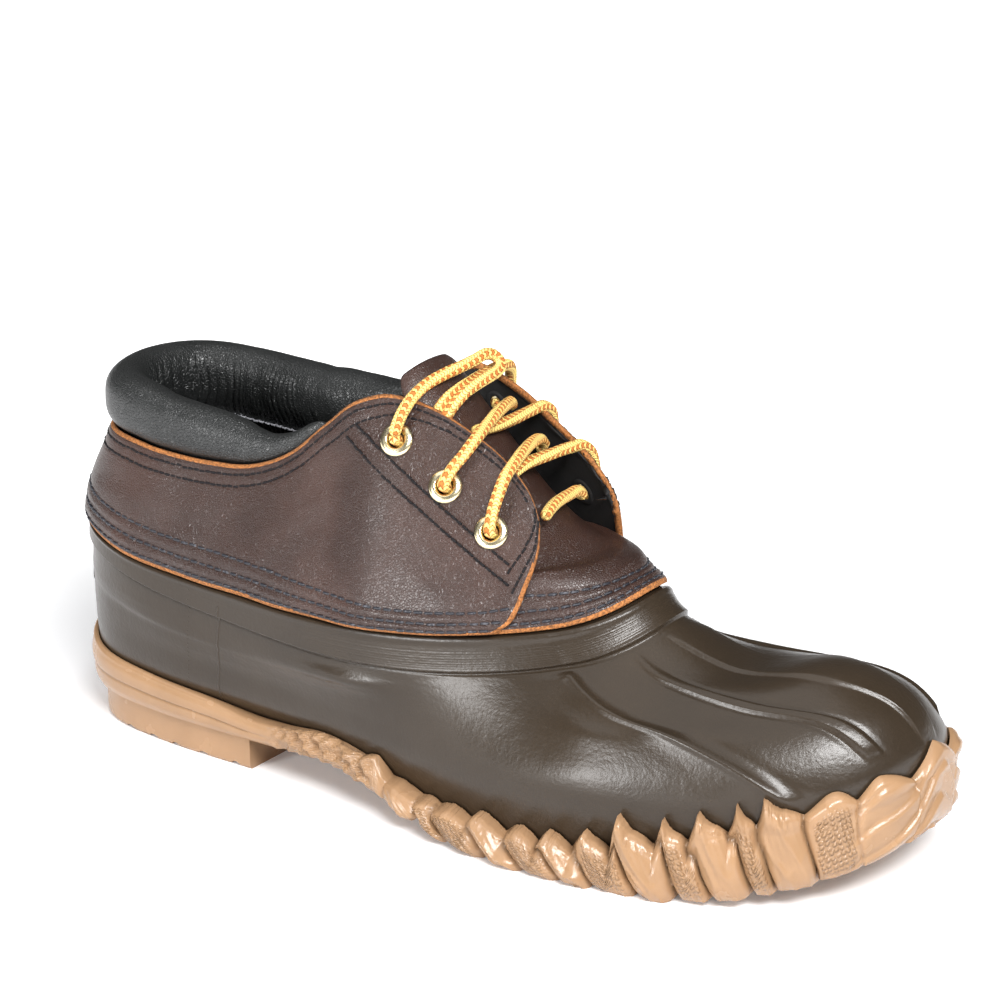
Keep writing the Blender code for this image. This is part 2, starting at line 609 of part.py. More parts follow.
def make_collar():
    """The padded collar, a closed roll of one section drawn along the quarter's edge."""
    along = quarter_columns(COLLAR_COLUMNS)
    section = np.array(COLLAR_SECTION)
    around = len(section)
    bm = grid(len(along) - 1, around, lambda i, j: collar_point(along[i], section[j % around]))
    bmesh.ops.holes_fill(bm, edges=bm.edges)
    bmesh.ops.recalc_face_normals(bm, faces=bm.faces)
    return finish("collar", bm, COLLAR_FINISH)


# Tab: a plain plate on the back of the rubber heel
TAB_HALF_ANGLE = 13.0
TAB_ROWS = (3.1, 5.7)
TAB_THICKNESS = 1.2
TAB_ACROSS, TAB_STEPS = 8, 3


def make_heel_tab():
    """The tab, bent round the heel."""
    angles = np.linspace(-TAB_HALF_ANGLE, TAB_HALF_ANGLE, TAB_ACROSS + 1)
    rows = np.linspace(*TAB_ROWS, TAB_STEPS + 1)
    out = GAP + TAB_THICKNESS
    bm = grid(TAB_ACROSS, TAB_STEPS, lambda i, j: form(angles[i] % 360.0, rows[j], np.full(len(i), out)))
    return thicken(finish("heel_tab", bm, TAB_FINISH), TAB_THICKNESS)


# Eyelets: turned brass rings through the quarter's facings, top to bottom, by length and height from the side
EYELETS = ((131.5, 114.5), (149.5, 103.5), (166.0, 92.5))
EYELET_HOLE = 2.5
EYELET_BARREL = 3.2
EYELET_FLANGE = 4.8
EYELET_CROWN = 1.35
EYELET_SIDES = 12
EYELET_CLEAR = 0.35
EYELET_SOFT = 0.5
EYELET_SLOPE = 1.2
HOLE_SIDES = 12
HOLE_CLEAR = 0.45


def eyelet_frame(level, inner_side):
    """Centre on the quarter's outer face and outward direction of an eyelet, in table millimetres."""
    angle, row = locate(*EYELETS[level])
    angle = 360.0 - angle if inner_side else angle
    return form(angle, row, quarter_lift(angle) + LEATHER), form_normal(angle, row)


def turn_to(direction, centre):
    """Matrix that stands an upright piece at a point of the boot with its axis along a direction."""
    axis = Vector(direction * SCALE).normalized()
    return Matrix.Translation(Vector(world(centre))) @ axis.to_track_quat("Z", "Y").to_matrix().to_4x4()


def make_eyelet(name, centre, direction):
    """One eyelet, turned about its axis: a barrel with a rounded flange."""
    end = -LEATHER - EYELET_SOFT
    profile = ((EYELET_HOLE, EYELET_CROWN - EYELET_SOFT), (EYELET_HOLE + EYELET_SOFT, EYELET_CROWN),
               (EYELET_FLANGE - EYELET_SLOPE, EYELET_CROWN), (EYELET_FLANGE, EYELET_CLEAR + EYELET_SOFT),
               (EYELET_FLANGE, EYELET_CLEAR), (EYELET_BARREL, EYELET_CLEAR),
               (EYELET_BARREL, end), (EYELET_HOLE, end))
    bm = bmesh.new()
    verts = [bm.verts.new((radius * MM, 0.0, height * MM)) for radius, height in profile]
    for one, two in zip(verts, verts[1:] + verts[:1]):
        bm.edges.new((one, two))
    eyelet = finish(name, bm, BRASS)
    eyelet.matrix_world = turn_to(direction, centre)
    screw = eyelet.modifiers.new("turned", "SCREW")
    screw.steps = screw.render_steps = EYELET_SIDES
    screw.use_merge_vertices = True
    screw.merge_threshold = JOIN
    screw.use_normal_calculate = True
    return eyelet


def make_eyelets(quarter):
    """The eyelets of both facings, and their holes in the quarter."""
    radius = (EYELET_BARREL + HOLE_CLEAR) * MM
    for side, inner_side in (("outer", False), ("inner", True)):
        for level in range(len(EYELETS)):
            centre, direction = eyelet_frame(level, inner_side)
            make_eyelet(f"eyelet_{side}_{level + 1}", centre, direction)
            bm = bmesh.new()
            bmesh.ops.create_cone(bm, cap_ends=True, segments=HOLE_SIDES, depth=4 * LEATHER * MM,
                                  radius1=radius, radius2=radius)
            bmesh.ops.transform(bm, matrix=turn_to(direction, centre), verts=bm.verts)
            cut(quarter, cutter(f"eyelet_hole_{side}_{level + 1}", bm))


# Lace: routes through the throat as points in table millimetres
LACE_BAR = ((177.0, -18.0, 97.5), (175.6, -11.0, 99.0), (174.3, -1.0, 99.2), (173.0, 8.0, 97.8),
            (172.6, 11.0, 95.4))
LACE_CROSSINGS = {
    "lace_crossing_low": (
        ((168.9, -35.2, 97.2), (168.2, -31.0, 103.6), (168.0, -27.2, 110.6), (166.6, -20.4, 117.6),
         (162.4, -11.0, 113.6), (160.3, -2.0, 112.2), (158.9, 6.5, 110.4), (158.6, 11.0, 107.4)),
        ((168.9, 25.0, 96.2), (167.9, 22.6, 103.4), (167.8, 20.8, 111.4), (166.2, 15.4, 117.0),
         (163.9, 7.0, 112.0), (162.9, -2.0, 110.4), (162.6, -9.0, 110.0), (163.4, -15.5, 108.6)),
    ),
    "lace_crossing_high": (
        ((152.0, -34.6, 108.2), (151.6, -30.4, 114.8), (151.8, -26.6, 120.8), (151.6, -20.4, 126.4),
         (150.2, -12.0, 124.2), (148.7, -4.0, 123.8), (147.2, 4.5, 122.8), (146.6, 10.0, 119.8)),
        ((152.0, 26.8, 107.0), (152.2, 25.0, 113.2), (153.0, 23.6, 119.8), (153.2, 18.4, 124.0),
         (152.6, 11.0, 121.0), (152.0, 1.0, 121.4), (150.6, -8.0, 121.6), (149.0, -14.0, 120.6)),
    ),
}
LACE_CORDS = {
    "lace_loop": ((133.2, -33.4, 119.2), (133.6, -30.0, 124.6), (134.4, -25.0, 129.4), (135.8, -18.6, 132.6),
                  (137.8, -12.5, 134.4), (140.2, -7.0, 135.6), (142.3, -1.0, 137.0), (143.8, 4.0, 138.2),
                  (145.6, 7.2, 137.2), (146.9, 5.4, 134.4), (146.9, 0.0, 132.9), (146.0, -6.0, 131.8),
                  (145.8, -11.5, 131.2), (145.6, -15.2, 129.8)),
    "lace_tail": ((133.3, 29.2, 116.0), (134.4, 28.4, 121.4), (136.0, 26.0, 126.2), (138.2, 21.4, 129.2),
                  (139.7, 14.0, 130.8), (140.8, 5.0, 131.0), (141.3, -4.0, 130.4), (141.4, -11.0, 129.6),
                  (141.0, -15.6, 128.2)),
}
LACE_SPACING = 7.0
LACE_SIDES = 2
LACE_LEAST = 4


def smooth_route(points):
    """Evenly spaced points along a smooth curve through a route."""
    points = np.array(points)
    reach = np.concatenate([[0.0], np.cumsum(np.linalg.norm(np.diff(points, axis=0), axis=1))])
    at = np.linspace(0.0, reach[-1], max(int(reach[-1] / LACE_SPACING) + 1, LACE_LEAST))
    return np.stack([smooth(reach, column, at, flat=False) for column in points.T], -1)


def lace_tube(name, points):
    """A round cord along a route, as a curve object with filled ends."""
    curve = bpy.data.curves.new(name, "CURVE")
    curve.dimensions = "3D"
    curve.bevel_depth = LACE_DIAMETER / 2 * MM
    curve.bevel_resolution = LACE_SIDES
    curve.use_fill_caps = True
    route = world(smooth_route(points))
    spline = curve.splines.new("POLY")
    spline.points.add(len(route) - 1)
    for spot, place in zip(spline.points, route):
        spot.co = (*place, 1.0)
    curve.materials.append(LACE_FINISH)
    tube = bpy.data.objects.new(name, curve)
    BOOT.objects.link(tube)
    return tube


def as_mesh(tube):
    """Swap a curve object for a closed mesh of the same shape."""
    depsgraph = bpy.context.evaluated_depsgraph_get()
    mesh = bpy.data.meshes.new_from_object(tube.evaluated_get(depsgraph))
    bm = bmesh.new()
    bm.from_mesh(mesh)
    bmesh.ops.remove_doubles(bm, verts=bm.verts, dist=JOIN)
    bm.to_mesh(mesh)
    bm.free()
    name, place = tube.name, tube.matrix_world.copy()
    bpy.data.objects.remove(tube, do_unlink=True)
    piece = bpy.data.objects.new(name, mesh)
    piece.matrix_world = place
    BOOT.objects.link(piece)
    return piece


def make_lace():
    """The lace: a bar, two joined crossings, and the cords of its loop and its other end."""
    lace_tube("lace_bar", LACE_BAR)
    for name, (over, under) in LACE_CROSSINGS.items():
        crossing = as_mesh(lace_tube(name, over))
        strand = as_mesh(lace_tube(name + "_strand", under))
        BOOT.objects.unlink(strand)
        store_tool(strand)
        union = crossing.modifiers.new("crossing", "BOOLEAN")
        union.operation = "UNION"
        union.object = strand
    for name, route in LACE_CORDS.items():
        lace_tube(name, route)


def store_tool(tool):
    """Keep an object that shapes another one, out of the boot."""
    tool.display_type = "WIRE"
    tool.hide_render = True
    CUTTERS.objects.link(tool)
    return tool


def cutter(name, bm):
    """Store a bmesh as a cutting tool."""
    mesh = bpy.data.meshes.new(name)
    bm.to_mesh(mesh)
    bm.free()
    return store_tool(bpy.data.objects.new(name, mesh))


def cut(piece, tool):
    """Take a tool's volume out of a piece."""
    boolean = piece.modifiers.new(tool.name, "BOOLEAN")
    boolean.operation = "DIFFERENCE"
    boolean.object = tool


def finish_of(name, colour, roughness, metallic=0.0):
    """A plain material of the boot."""
    material = bpy.data.materials.new(name)
    material.use_nodes = True
    shader = material.node_tree.nodes["Principled BSDF"]
    shader.inputs["Base Color"].default_value = (*colour, 1.0)
    shader.inputs["Roughness"].default_value = roughness
    shader.inputs["Metallic"].default_value = metallic
    return material


def clear_scene():
    """Start from an empty scene."""
    for thing in list(bpy.data.objects):
        bpy.data.objects.remove(thing, do_unlink=True)


clear_scene()
ORIGIN = middle_of_sole()
BOOT = bpy.data.collections.new("boot")
CUTTERS = bpy.data.collections.new("cutters")
for collection in (BOOT, CUTTERS):
    bpy.context.scene.collection.children.link(collection)
RUBBER = finish_of("olive_rubber", (0.085, 0.066, 0.05), 0.35)
GUM = finish_of("gum_rubber", (0.62, 0.36, 0.19), 0.55)
LEATHER_FINISH = finish_of("brown_leather", (0.07, 0.035, 0.028), 0.5)
COLLAR_FINISH = finish_of("black_leather", (0.012, 0.013, 0.014), 0.5)
INSOLE = finish_of("grey_insole", (0.06, 0.06, 0.065), 0.9)
BRASS = finish_of("brass", (0.8, 0.62, 0.3), 0.25, 1.0)
TAB_FINISH = finish_of("black_tab", (0.01, 0.01, 0.01), 0.5)
LACE_FINISH = finish_of("yellow_lace", (0.75, 0.42, 0.08), 0.8)

make_outsole()
make_heel()
make_rubber_bottom()
make_insole()
make_vamp_tongue()
quarter = make_quarter()
make_eyelets(quarter)
make_collar()
make_heel_tab()
make_lace()
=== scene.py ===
"""Looks of a low rubber-bottom boot for the right foot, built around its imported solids.

Tables hold millimetres at the boot's own size: x from the heel, y to the inner side, z up from the floor.
Finished pieces are in metres, with the origin on the floor under the boot's middle.
"""

import math

import bmesh
import bpy
import numpy as np
from mathutils import Matrix, Vector

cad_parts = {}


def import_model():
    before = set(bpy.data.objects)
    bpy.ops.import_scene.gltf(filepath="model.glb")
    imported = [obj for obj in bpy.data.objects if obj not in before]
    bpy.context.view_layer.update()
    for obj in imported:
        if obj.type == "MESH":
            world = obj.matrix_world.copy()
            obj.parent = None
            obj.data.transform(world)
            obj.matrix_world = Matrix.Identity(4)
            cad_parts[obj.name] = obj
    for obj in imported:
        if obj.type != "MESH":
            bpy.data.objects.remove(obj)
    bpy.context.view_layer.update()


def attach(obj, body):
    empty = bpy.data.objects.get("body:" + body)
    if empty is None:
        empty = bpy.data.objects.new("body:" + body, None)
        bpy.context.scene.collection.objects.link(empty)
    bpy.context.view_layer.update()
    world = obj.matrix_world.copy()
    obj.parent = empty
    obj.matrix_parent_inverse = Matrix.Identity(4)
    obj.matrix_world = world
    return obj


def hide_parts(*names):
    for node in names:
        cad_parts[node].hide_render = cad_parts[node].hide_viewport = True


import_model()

bl_info = {
    "name": "Rubber-bottom boot",
    "version": (1, 0, 0),
    "blender": (4, 5, 0),
    "location": "View3D > Sidebar > Boot",
    "description": "Dresses the boot's solids in moulded rubber, leather, padding, stitching and lace",
    "category": "Object",
}

MM = 0.001
ORIGIN = np.array([147.388, -1.545, 0.0])
JOIN = 1e-6

# Stations round a ring of the form, in degrees from the heel's back by either side to the toe
STATIONS = {"back": 0.0, "heel": 45.0, "waist": 72.0, "ball": 112.0, "toe": 145.0, "front": 180.0}
HEEL_RADIUS = 39.0

# The form is a stack of rings. back and front are where a ring crosses the middle plane, heel to toe are
# half widths at the stations, round is the radius of its front, lean is how far it leans to the outer side
# over the forefoot, and the z columns are heights.
RING_COLUMNS = ("back", "front", "heel", "waist", "ball", "toe", "round", "lean",
                "z_back", "z_waist", "z_ball", "z_toe", "z_front")
RINGS = {
    "feather": (-0.5, 289.0, 31.5, 32.0, 43.0, 33.0, 40.0, 0.0, 15.0, 15.5, 4.0, 12.0, 24.0),
    "girth": (-3.0, 296.0, 36.5, 38.0, 48.5, 38.0, 44.0, 0.0, 27.0, 24.0, 21.0, 29.0, 39.0),
    "flank": (-3.8, 294.0, 37.5, 39.5, 48.0, 37.5, 42.0, 0.5, 37.0, 33.0, 32.0, 39.0, 48.0),
    "shoulder": (-4.0, 284.5, 38.0, 40.5, 45.0, 32.5, 34.0, 1.5, 44.0, 37.5, 42.0, 49.5, 58.0),
    "crown": (-4.0, 266.0, 38.0, 41.0, 43.0, 28.0, 30.0, 3.0, 49.0, 40.5, 45.5, 53.0, 63.5),
    "saddle": (-4.0, 240.0, 38.0, 41.0, 41.5, 24.5, 25.0, 4.0, 53.0, 43.0, 47.5, 56.5, 60.0),
    "band_low": (-3.8, 216.5, 37.5, 40.5, 39.0, 25.5, 22.0, 4.5, 57.5, 48.0, 50.5, 59.0, 69.5),
    "band_top": (-3.0, 209.0, 37.0, 40.0, 38.0, 24.5, 22.0, 4.5, 68.5, 60.0, 61.5, 67.5, 75.5),
    "rim": (-0.2, 199.0, 34.5, 36.5, 35.5, 23.0, 22.0, 4.0, 82.0, 75.0, 75.0, 78.0, 80.0),
    "ankle": (8.0, 188.0, 27.5, 27.0, 26.5, 16.0, 20.0, 1.2, 100.0, 100.0, 104.0, 101.0, 98.0),
    "top": (12.0, 160.0, 23.0, 22.0, 21.5, 13.0, 16.0, -3.5, 126.0, 126.0, 129.0, 124.0, 118.0),
}
LEAN_START, LEAN_FULL = 50.0, 110.0
# Small steps that directions are taken over, and rounds of the two searches on the form
NUDGE_ANGLE, NUDGE_ROW, NUDGE_SHARE = 0.05, 0.01, 0.004
PLACE_ROUNDS, HEIGHT_ROUNDS = 13, 18
ROW = {name: float(index) for index, name in enumerate(RINGS)}

# The middle line of the foot: how far it swings to the inner side at points along the length
SWING = {0.0: 0.0, 60.0: 0.0, 115.0: -3.0, 200.0: -2.0, 300.0: 5.0}


def smooth(knots, values, at, flat=True):
    """Cubic curve through values at rising knots, read at `at`; flat at its ends unless told otherwise."""
    knots = np.asarray(list(knots), float)
    at = np.asarray(at, float)
    values = np.stack([np.broadcast_to(np.asarray(v, float), at.shape) for v in values])
    step = np.diff(knots).reshape([-1] + [1] * at.ndim)
    slope = np.diff(values, axis=0) / step
    tangent = np.zeros_like(values)
    tangent[1:-1] = (slope[:-1] * step[1:] + slope[1:] * step[:-1]) / (step[1:] + step[:-1])
    if not flat:
        tangent[0], tangent[-1] = slope[0], slope[-1]
    index = np.clip(np.searchsorted(knots, at, side="right") - 1, 0, len(knots) - 2)

    def pick(rows, i):
        return np.take_along_axis(rows, i[None], 0)[0]

    width = knots[index + 1] - knots[index]
    t = (at - knots[index]) / width
    low, high = pick(values, index), pick(values, index + 1)
    rise, fall = pick(tangent, index) * width, pick(tangent, index + 1) * width
    return (low * (1 + 2 * t) * (1 - t) ** 2 + rise * t * (1 - t) ** 2
            + high * t * t * (3 - 2 * t) + fall * t * t * (t - 1))


def curve(table, at):
    """Cubic curve through a table of knots and values, level beyond its ends."""
    return smooth(table.keys(), table.values(), np.clip(at, min(table), max(table)))


def curve_through(knots, points, at):
    """Points on the cubic curve that runs through points at rising knots."""
    return np.stack([smooth(knots, column, at, flat=False) for column in np.asarray(points).T], -1)


def spread(*runs):
    """Even values over joined runs of (start, end, count); only the last run keeps its end."""
    parts = [np.linspace(*run, endpoint=False) for run in runs[:-1]]
    return np.concatenate([*parts, np.linspace(*runs[-1])])


def lengths_along(points):
    """How far along a path each of its points is."""
    return np.concatenate([[0.0], np.cumsum(np.linalg.norm(np.diff(points, axis=0), axis=1))])


def fold(angle):
    """Degrees from the heel's back by the shorter way round."""
    return np.abs((angle + 180.0) % 360.0 - 180.0)


def ramp(low, high, at):
    """0 below low, 1 above high, and an S-curve between them."""
    t = np.clip((np.asarray(at, float) - low) / (high - low), 0.0, 1.0)
    return t * t * (3 - 2 * t)


def hump(middle, half, at):
    """A soft ridge of height 1 about a middle."""
    return np.exp(-((np.asarray(at, float) - middle) / half) ** 2)


def ripple(points, size, seed):
    """Smooth wandering values about -1 to 1 over points, with swells of about `size` millimetres."""
    turn = np.random.default_rng(seed).normal(size=(5, 3))
    turn = turn / np.linalg.norm(turn, axis=1, keepdims=True) * 2 * math.pi / size
    phase = np.random.default_rng(seed + 1).uniform(0, 2 * math.pi, 5)
    return sum(np.sin(points @ way * (0.7 + 0.2 * k) + phase[k]) for k, way in enumerate(turn)) / 2.6


def middle_line(x):
    """How far the foot's middle line stands to the inner side at a length."""
    return curve(SWING, x)


def ring_point(angle, row):
    """Form points in table millimetres: angle in degrees from the heel's back, row counted up RINGS."""
    angle, row = np.broadcast_arrays(np.asarray(angle, float), np.asarray(row, float))
    table = np.array(list(RINGS.values())).T
    size = {name: smooth(range(len(RINGS)), column, row, flat=False)
            for name, column in zip(RING_COLUMNS, table)}
    folded = fold(angle)
    outer = (angle % 360.0) <= 180.0
    turn = np.radians(folded)
    length = size["front"] - size["back"]
    x = size["back"] + length * (1 - np.cos(turn)) / 2
    fullness = [np.sqrt(HEEL_RADIUS * length / 2)]
    fullness += [size[name] / math.sin(math.radians(STATIONS[name])) for name in list(STATIONS)[1:-1]]
    fullness += [np.sqrt(size["round"] * length / 2)]
    half = smooth(STATIONS.values(), fullness, folded) * np.sin(turn)
    heights = [name for name in STATIONS if name != "heel"]
    z = smooth([STATIONS[name] for name in heights], [size["z_" + name] for name in heights], folded)
    middle = middle_line(x) - size["lean"] * ramp(LEAN_START, LEAN_FULL, folded)
    return np.stack([x, middle + np.where(outer, -half, half), z], -1)


def unit(vectors):
    """Vectors at length 1."""
    return vectors / np.maximum(np.linalg.norm(vectors, axis=-1, keepdims=True), 1e-12)


def form_normal(angle, row):
    """Outward unit normal of the form."""
    along = ring_point(angle + NUDGE_ANGLE, row) - ring_point(angle - NUDGE_ANGLE, row)
    up = ring_point(angle, row + NUDGE_ROW) - ring_point(angle, row - NUDGE_ROW)
    return unit(np.cross(along, up))


def form(angle, row, out=0.0):
    """A point `out` millimetres outside the form."""
    return ring_point(angle, row) + form_normal(angle, row) * np.asarray(out, float)[..., None]


def locate(x, z, row=ROW["ankle"]):
    """(angle, row) of the outer side's form point at that length and height in table millimetres."""
    place = np.array([90.0, row])
    longest = np.array([8.0, 0.5])
    for _ in range(PLACE_ROUNDS):
        here = ring_point(*place)
        miss = np.array([x, z]) - here[[0, 2]]
        nudges = np.diag([NUDGE_ANGLE, NUDGE_ROW])
        grow = np.array([(ring_point(*(place + nudge)) - here)[[0, 2]] / nudge.sum() for nudge in nudges]).T
        place = place + np.clip(np.linalg.solve(grow, miss), -longest, longest)
        place = np.clip(place, [1.0, 0.0], [175.0, len(RINGS) - 1.0])
    return place


def locate_line(line, count, row=ROW["ankle"]):
    """(angle, row) of points evenly down a straight line seen from the side."""
    start, end = np.array(line)
    return np.array([locate(*(start + (end - start) * share), row) for share in np.linspace(0, 1, count)])


def world(points):
    """Table millimetres to metres in the boot's frame."""
    return (np.asarray(points) - ORIGIN) * MM


def grid(columns, rows, place, uv_scale=None, marks=None):
    """A bmesh grid of quads whose corner (i, j) stands at place(i, j); edges that meet are joined.

    uv_scale keeps a UV map of the grid at that size. marks are named values per corner, kept as attributes.
    """
    bm = bmesh.new()
    if uv_scale:
        bm.loops.layers.uv.new("UVMap")
    bmesh.ops.create_grid(bm, x_segments=columns, y_segments=rows, size=0.5, calc_uvs=bool(uv_scale))
    corner = np.array([vert.co for vert in bm.verts])
    i = np.rint((corner[:, 0] + 0.5) * columns).astype(int)
    j = np.rint((corner[:, 1] + 0.5) * rows).astype(int)
    if uv_scale:
        uv = bm.loops.layers.uv.active
        for face in bm.faces:
            for loop in face.loops:
                loop[uv].uv = (loop[uv].uv[0] * uv_scale[0], loop[uv].uv[1] * uv_scale[1])
    layers = {name: bm.verts.layers.float.new(name) for name in marks or {}}
    for vert, point in zip(bm.verts, world(place(i, j))):
        vert.co = point
    for name, layer in layers.items():
        for vert, value in zip(bm.verts, marks[name](i, j)):
            vert[layer] = value
    bmesh.ops.remove_doubles(bm, verts=bm.verts, dist=JOIN)
    return bm


def add_part(bm, part):
    """Add a bmesh to another and let it go."""
    mesh = bpy.data.meshes.new("part")
    part.to_mesh(mesh)
    part.free()
    bm.from_mesh(mesh)
    bpy.data.meshes.remove(mesh)


def piece(name, bm, materials, replaces=()):
    """Store a bmesh as a finished piece that rides on the boot."""
    mesh = bpy.data.meshes.new(name)
    bm.to_mesh(mesh)
    bm.free()
    mesh.shade_smooth()
    for material in materials:
        mesh.materials.append(material)
    thing = bpy.data.objects.new(name, mesh)
    bpy.context.scene.collection.objects.link(thing)
    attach(thing, "root")
    if replaces:
        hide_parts(*replaces)
    return thing


def thicken(thing, thickness, inside=0, rim=0):
    """Give an open surface a wall on its inner side, with other materials inside and on its rim."""
    wall = thing.modifiers.new("wall", "SOLIDIFY")
    wall.thickness = thickness * MM
    wall.offset = -1.0
    wall.use_even_offset = True
    wall.material_offset = inside
    wall.material_offset_rim = rim
    return thing


def sharpen(thing, degrees):
    """Keep edges sharper than an angle crisp."""
    thing.data.set_sharp_from_angle(angle=math.radians(degrees))
    return thing


# Rubber bottom: the columns that the ribs of each side of the toe lie on, outer to middle, and their angle
# at each ring
RIB_HOME = (134.0, 156.0, 172.0)
RIB_FREE = 100.0
RIB_PATH = {
    "feather": (147.0, 168.0, 178.0),
    "girth": (147.0, 167.5, 178.0),
    "flank": (142.0, 165.0, 177.0),
    "shoulder": (133.0, 160.5, 175.0),
    "crown": (130.0, 153.0, 171.0),
    "saddle": (133.5, 152.5, 171.5),
    "band_low": (143.0, 160.0, 170.5),
    "band_top": (143.0, 160.0, 170.5),
    "rim": (143.0, 160.0, 170.5),
}
# Row of the band's lower edge at stations round the form, and the fine lines on the band as shares of it
BAND_FOOT = {0.0: 6.66, 45.0: 6.6, 72.0: 6.4, 92.0: 6.26, 112.0: 6.14, 145.0: 6.03, 180.0: 6.03}
BAND_HEAD = 7.1
BAND_LINES = (0.12, 0.19, 0.25, 0.33, 0.39, 0.47, 0.52, 0.6)
BAND_STEP = 1.3
# The rubber's outer side is drawn smooth from this row up to its band, between these lengths, and is
# a little fuller over the ball: length, height, half length, half height and fullness
SIDE_ROW, SIDE_START, SIDE_END, SIDE_BEND = 1.5, (122.0, 146.0), (192.0, 212.0), 1.6
BALL = (206.0, 31.0, 24.0, 8.0, 1.3)


def bend_to_ribs(column, row):
    """Angle of a grid column at a row, bent so that the columns at the ribs' homes run along the ribs."""
    column, row = np.broadcast_arrays(np.asarray(column, float), np.asarray(row, float))
    folded = fold(column)
    paths = [smooth(range(len(RIB_PATH)), path, row, flat=False) for path in zip(*RIB_PATH.values())]
    home = [0.0, RIB_FREE, *RIB_HOME, 180.0]
    bent = [np.zeros_like(row), np.full_like(row, RIB_FREE), *paths, np.full_like(row, 180.0)]
    angle = np.zeros_like(row)
    for low, high, bent_low, bent_high in zip(home, home[1:], bent, bent[1:]):
        share = (folded - low) / (high - low)
        angle = np.where((share >= 0) & (share <= 1), bent_low + (bent_high - bent_low) * share, angle)
    return np.where(column <= 180.0, angle, 360.0 - angle)


def band_share(folded, row):
    """Share of the way up the top band, below zero under it."""
    foot = curve(BAND_FOOT, folded)
    return (row - foot) / (BAND_HEAD - foot)


def side_point(column, row):
    """A point of the rubber's form, with its outer side drawn smooth between the waist and the ball."""
    point = ring_point(bend_to_ribs(column, row), row)
    turns = np.linspace(60.0, 170.0, 111)
    heads = curve(BAND_FOOT, turns)
    ends = [ring_point(turns, level) for level in (np.full_like(turns, SIDE_ROW), heads)]
    x, _, z = np.moveaxis(point, -1, 0)
    (low_y, low_z), (high_y, high_z) = ([np.interp(x, end[:, 0], end[:, k]) for k in (1, 2)] for end in ends)
    climb = np.clip((z - low_z) / (high_z - low_z), 0, 1)
    drawn = low_y + (high_y - low_y) * climb ** SIDE_BEND
    folded = fold(column)
    side = (column <= 180.0) & (row > SIDE_ROW) & (band_share(folded, row) < 0.0)
    share = ramp(*SIDE_START, x) * (1 - ramp(*SIDE_END, x)) * side
    length, height, half, tall, full = BALL
    ball = full * np.exp(-((x - length) / half) ** 2 - ((z - height) / tall) ** 2) * (column <= 180.0)
    point[..., 1] += (drawn - point[..., 1]) * share - ball
    return point


def rubber_relief(column, row):
    """Height of the ribs, the top band and its fine lines over the rubber's form."""
    folded = fold(column)
    outer, mid, centre = RIB_HOME
    below = 1 - ramp(5.62, 5.9, row)
    ridge = hump(outer, 1.1, folded) + 0.75 * hump(outer - 0.6, 3.4, folded)
    ridge = (ridge - 0.3 * hump(outer + 3.6, 1.5, folded)) * ramp(1.0, 1.8, row) * (0.1 + 0.9 * below)
    bead = ramp(mid - 2.3, mid - 1.5, folded) - ramp(mid + 1.5, mid + 2.3, folded)
    grooves = hump(mid - 2.7, 0.7, folded) + hump(mid + 2.7, 0.7, folded)
    bead = (bead - 0.3 * grooves) * ramp(2.0, 2.3, row) * (1 - ramp(4.6, 5.6, row))
    bead = bead + 0.55 * hump(mid, 1.5, folded) * ramp(4.4, 5.4, row) * below
    panel = 0.9 * ramp(centre - 0.9, centre + 0.9, folded) * ramp(1.6, 2.4, row) * below
    share = band_share(folded, row)
    step = ramp(-0.025, 0.04, share) * (1 - ramp(0.93, 1.02, share))
    lines = sum(hump(line, 0.014, share) for line in BAND_LINES) * ramp(50.0, 75.0, folded)
    band = BAND_STEP * step + 0.45 * hump(0.86, 0.1, share) - 0.05 * lines - 0.2 * hump(-0.06, 0.05, share)
    return ridge + bead + panel + band


def rubber_point(column, row):
    """A point of the rubber's outer face."""
    column, row = np.broadcast_arrays(np.asarray(column, float), np.asarray(row, float))
    point = side_point(column, row)
    swell = 0.16 * ripple(point, 46.0, 3) * ramp(1.2, 2.0, row) * (1 - ramp(5.5, 5.9, row))
    out = rubber_relief(column, row) + swell
    return point + form_normal(bend_to_ribs(column, row), row) * out[..., None]


def make_rubber_bottom(sizes, finishes):
    """The hollow rubber bottom, with ribs on the toe and a raised top band."""
    half = np.unique(np.concatenate([spread((0, 124, 46), (124, 180, 86)), np.arange(169.5, 174.6, 0.4)]))
    columns = np.concatenate([half, 360.0 - half[-2::-1]])
    rows = spread((0.0, 5.85, 52), (5.85, 7.14, 84), (7.14, 8.0, 7))
    bm = grid(len(columns) - 1, len(rows) - 1, lambda i, j: rubber_point(columns[i], rows[j]))
    rubber = piece("rubber_bottom_skin", bm, [finishes["rubber"], finishes["lining"]],
                   ["rubber_bottom"])
    return thicken(rubber, sizes.rubber_wall / MM, inside=1)


# Mould marks on the side of the heel: a line of dots and a thin rib, each from (length, height) to
# (length, height), and how far they are sunk into the rubber
DOT_LINE = ((60.0, 58.5), (55.0, 25.0))
THIN_RIB = ((73.0, 56.5), (67.2, 20.0))
DOT_PITCH, DOT_SIZE, THIN_RIB_SIZE = 1.5, 0.3, 0.55
DOT_SUNK, THIN_RIB_SUNK = 0.1, 0.3


def rubber_path(line, mirror, out, count):
    """Points down the rubber's side along a line seen from the side, `out` off the rubber."""
    spots = locate_line(line, 16, ROW["shoulder"])
    column, row = curve_through(np.linspace(0, 1, len(spots)), spots, np.linspace(0, 1, count)).T
    column = 360.0 - column if mirror else column
    return rubber_point(column, row) + form_normal(column, row) * out


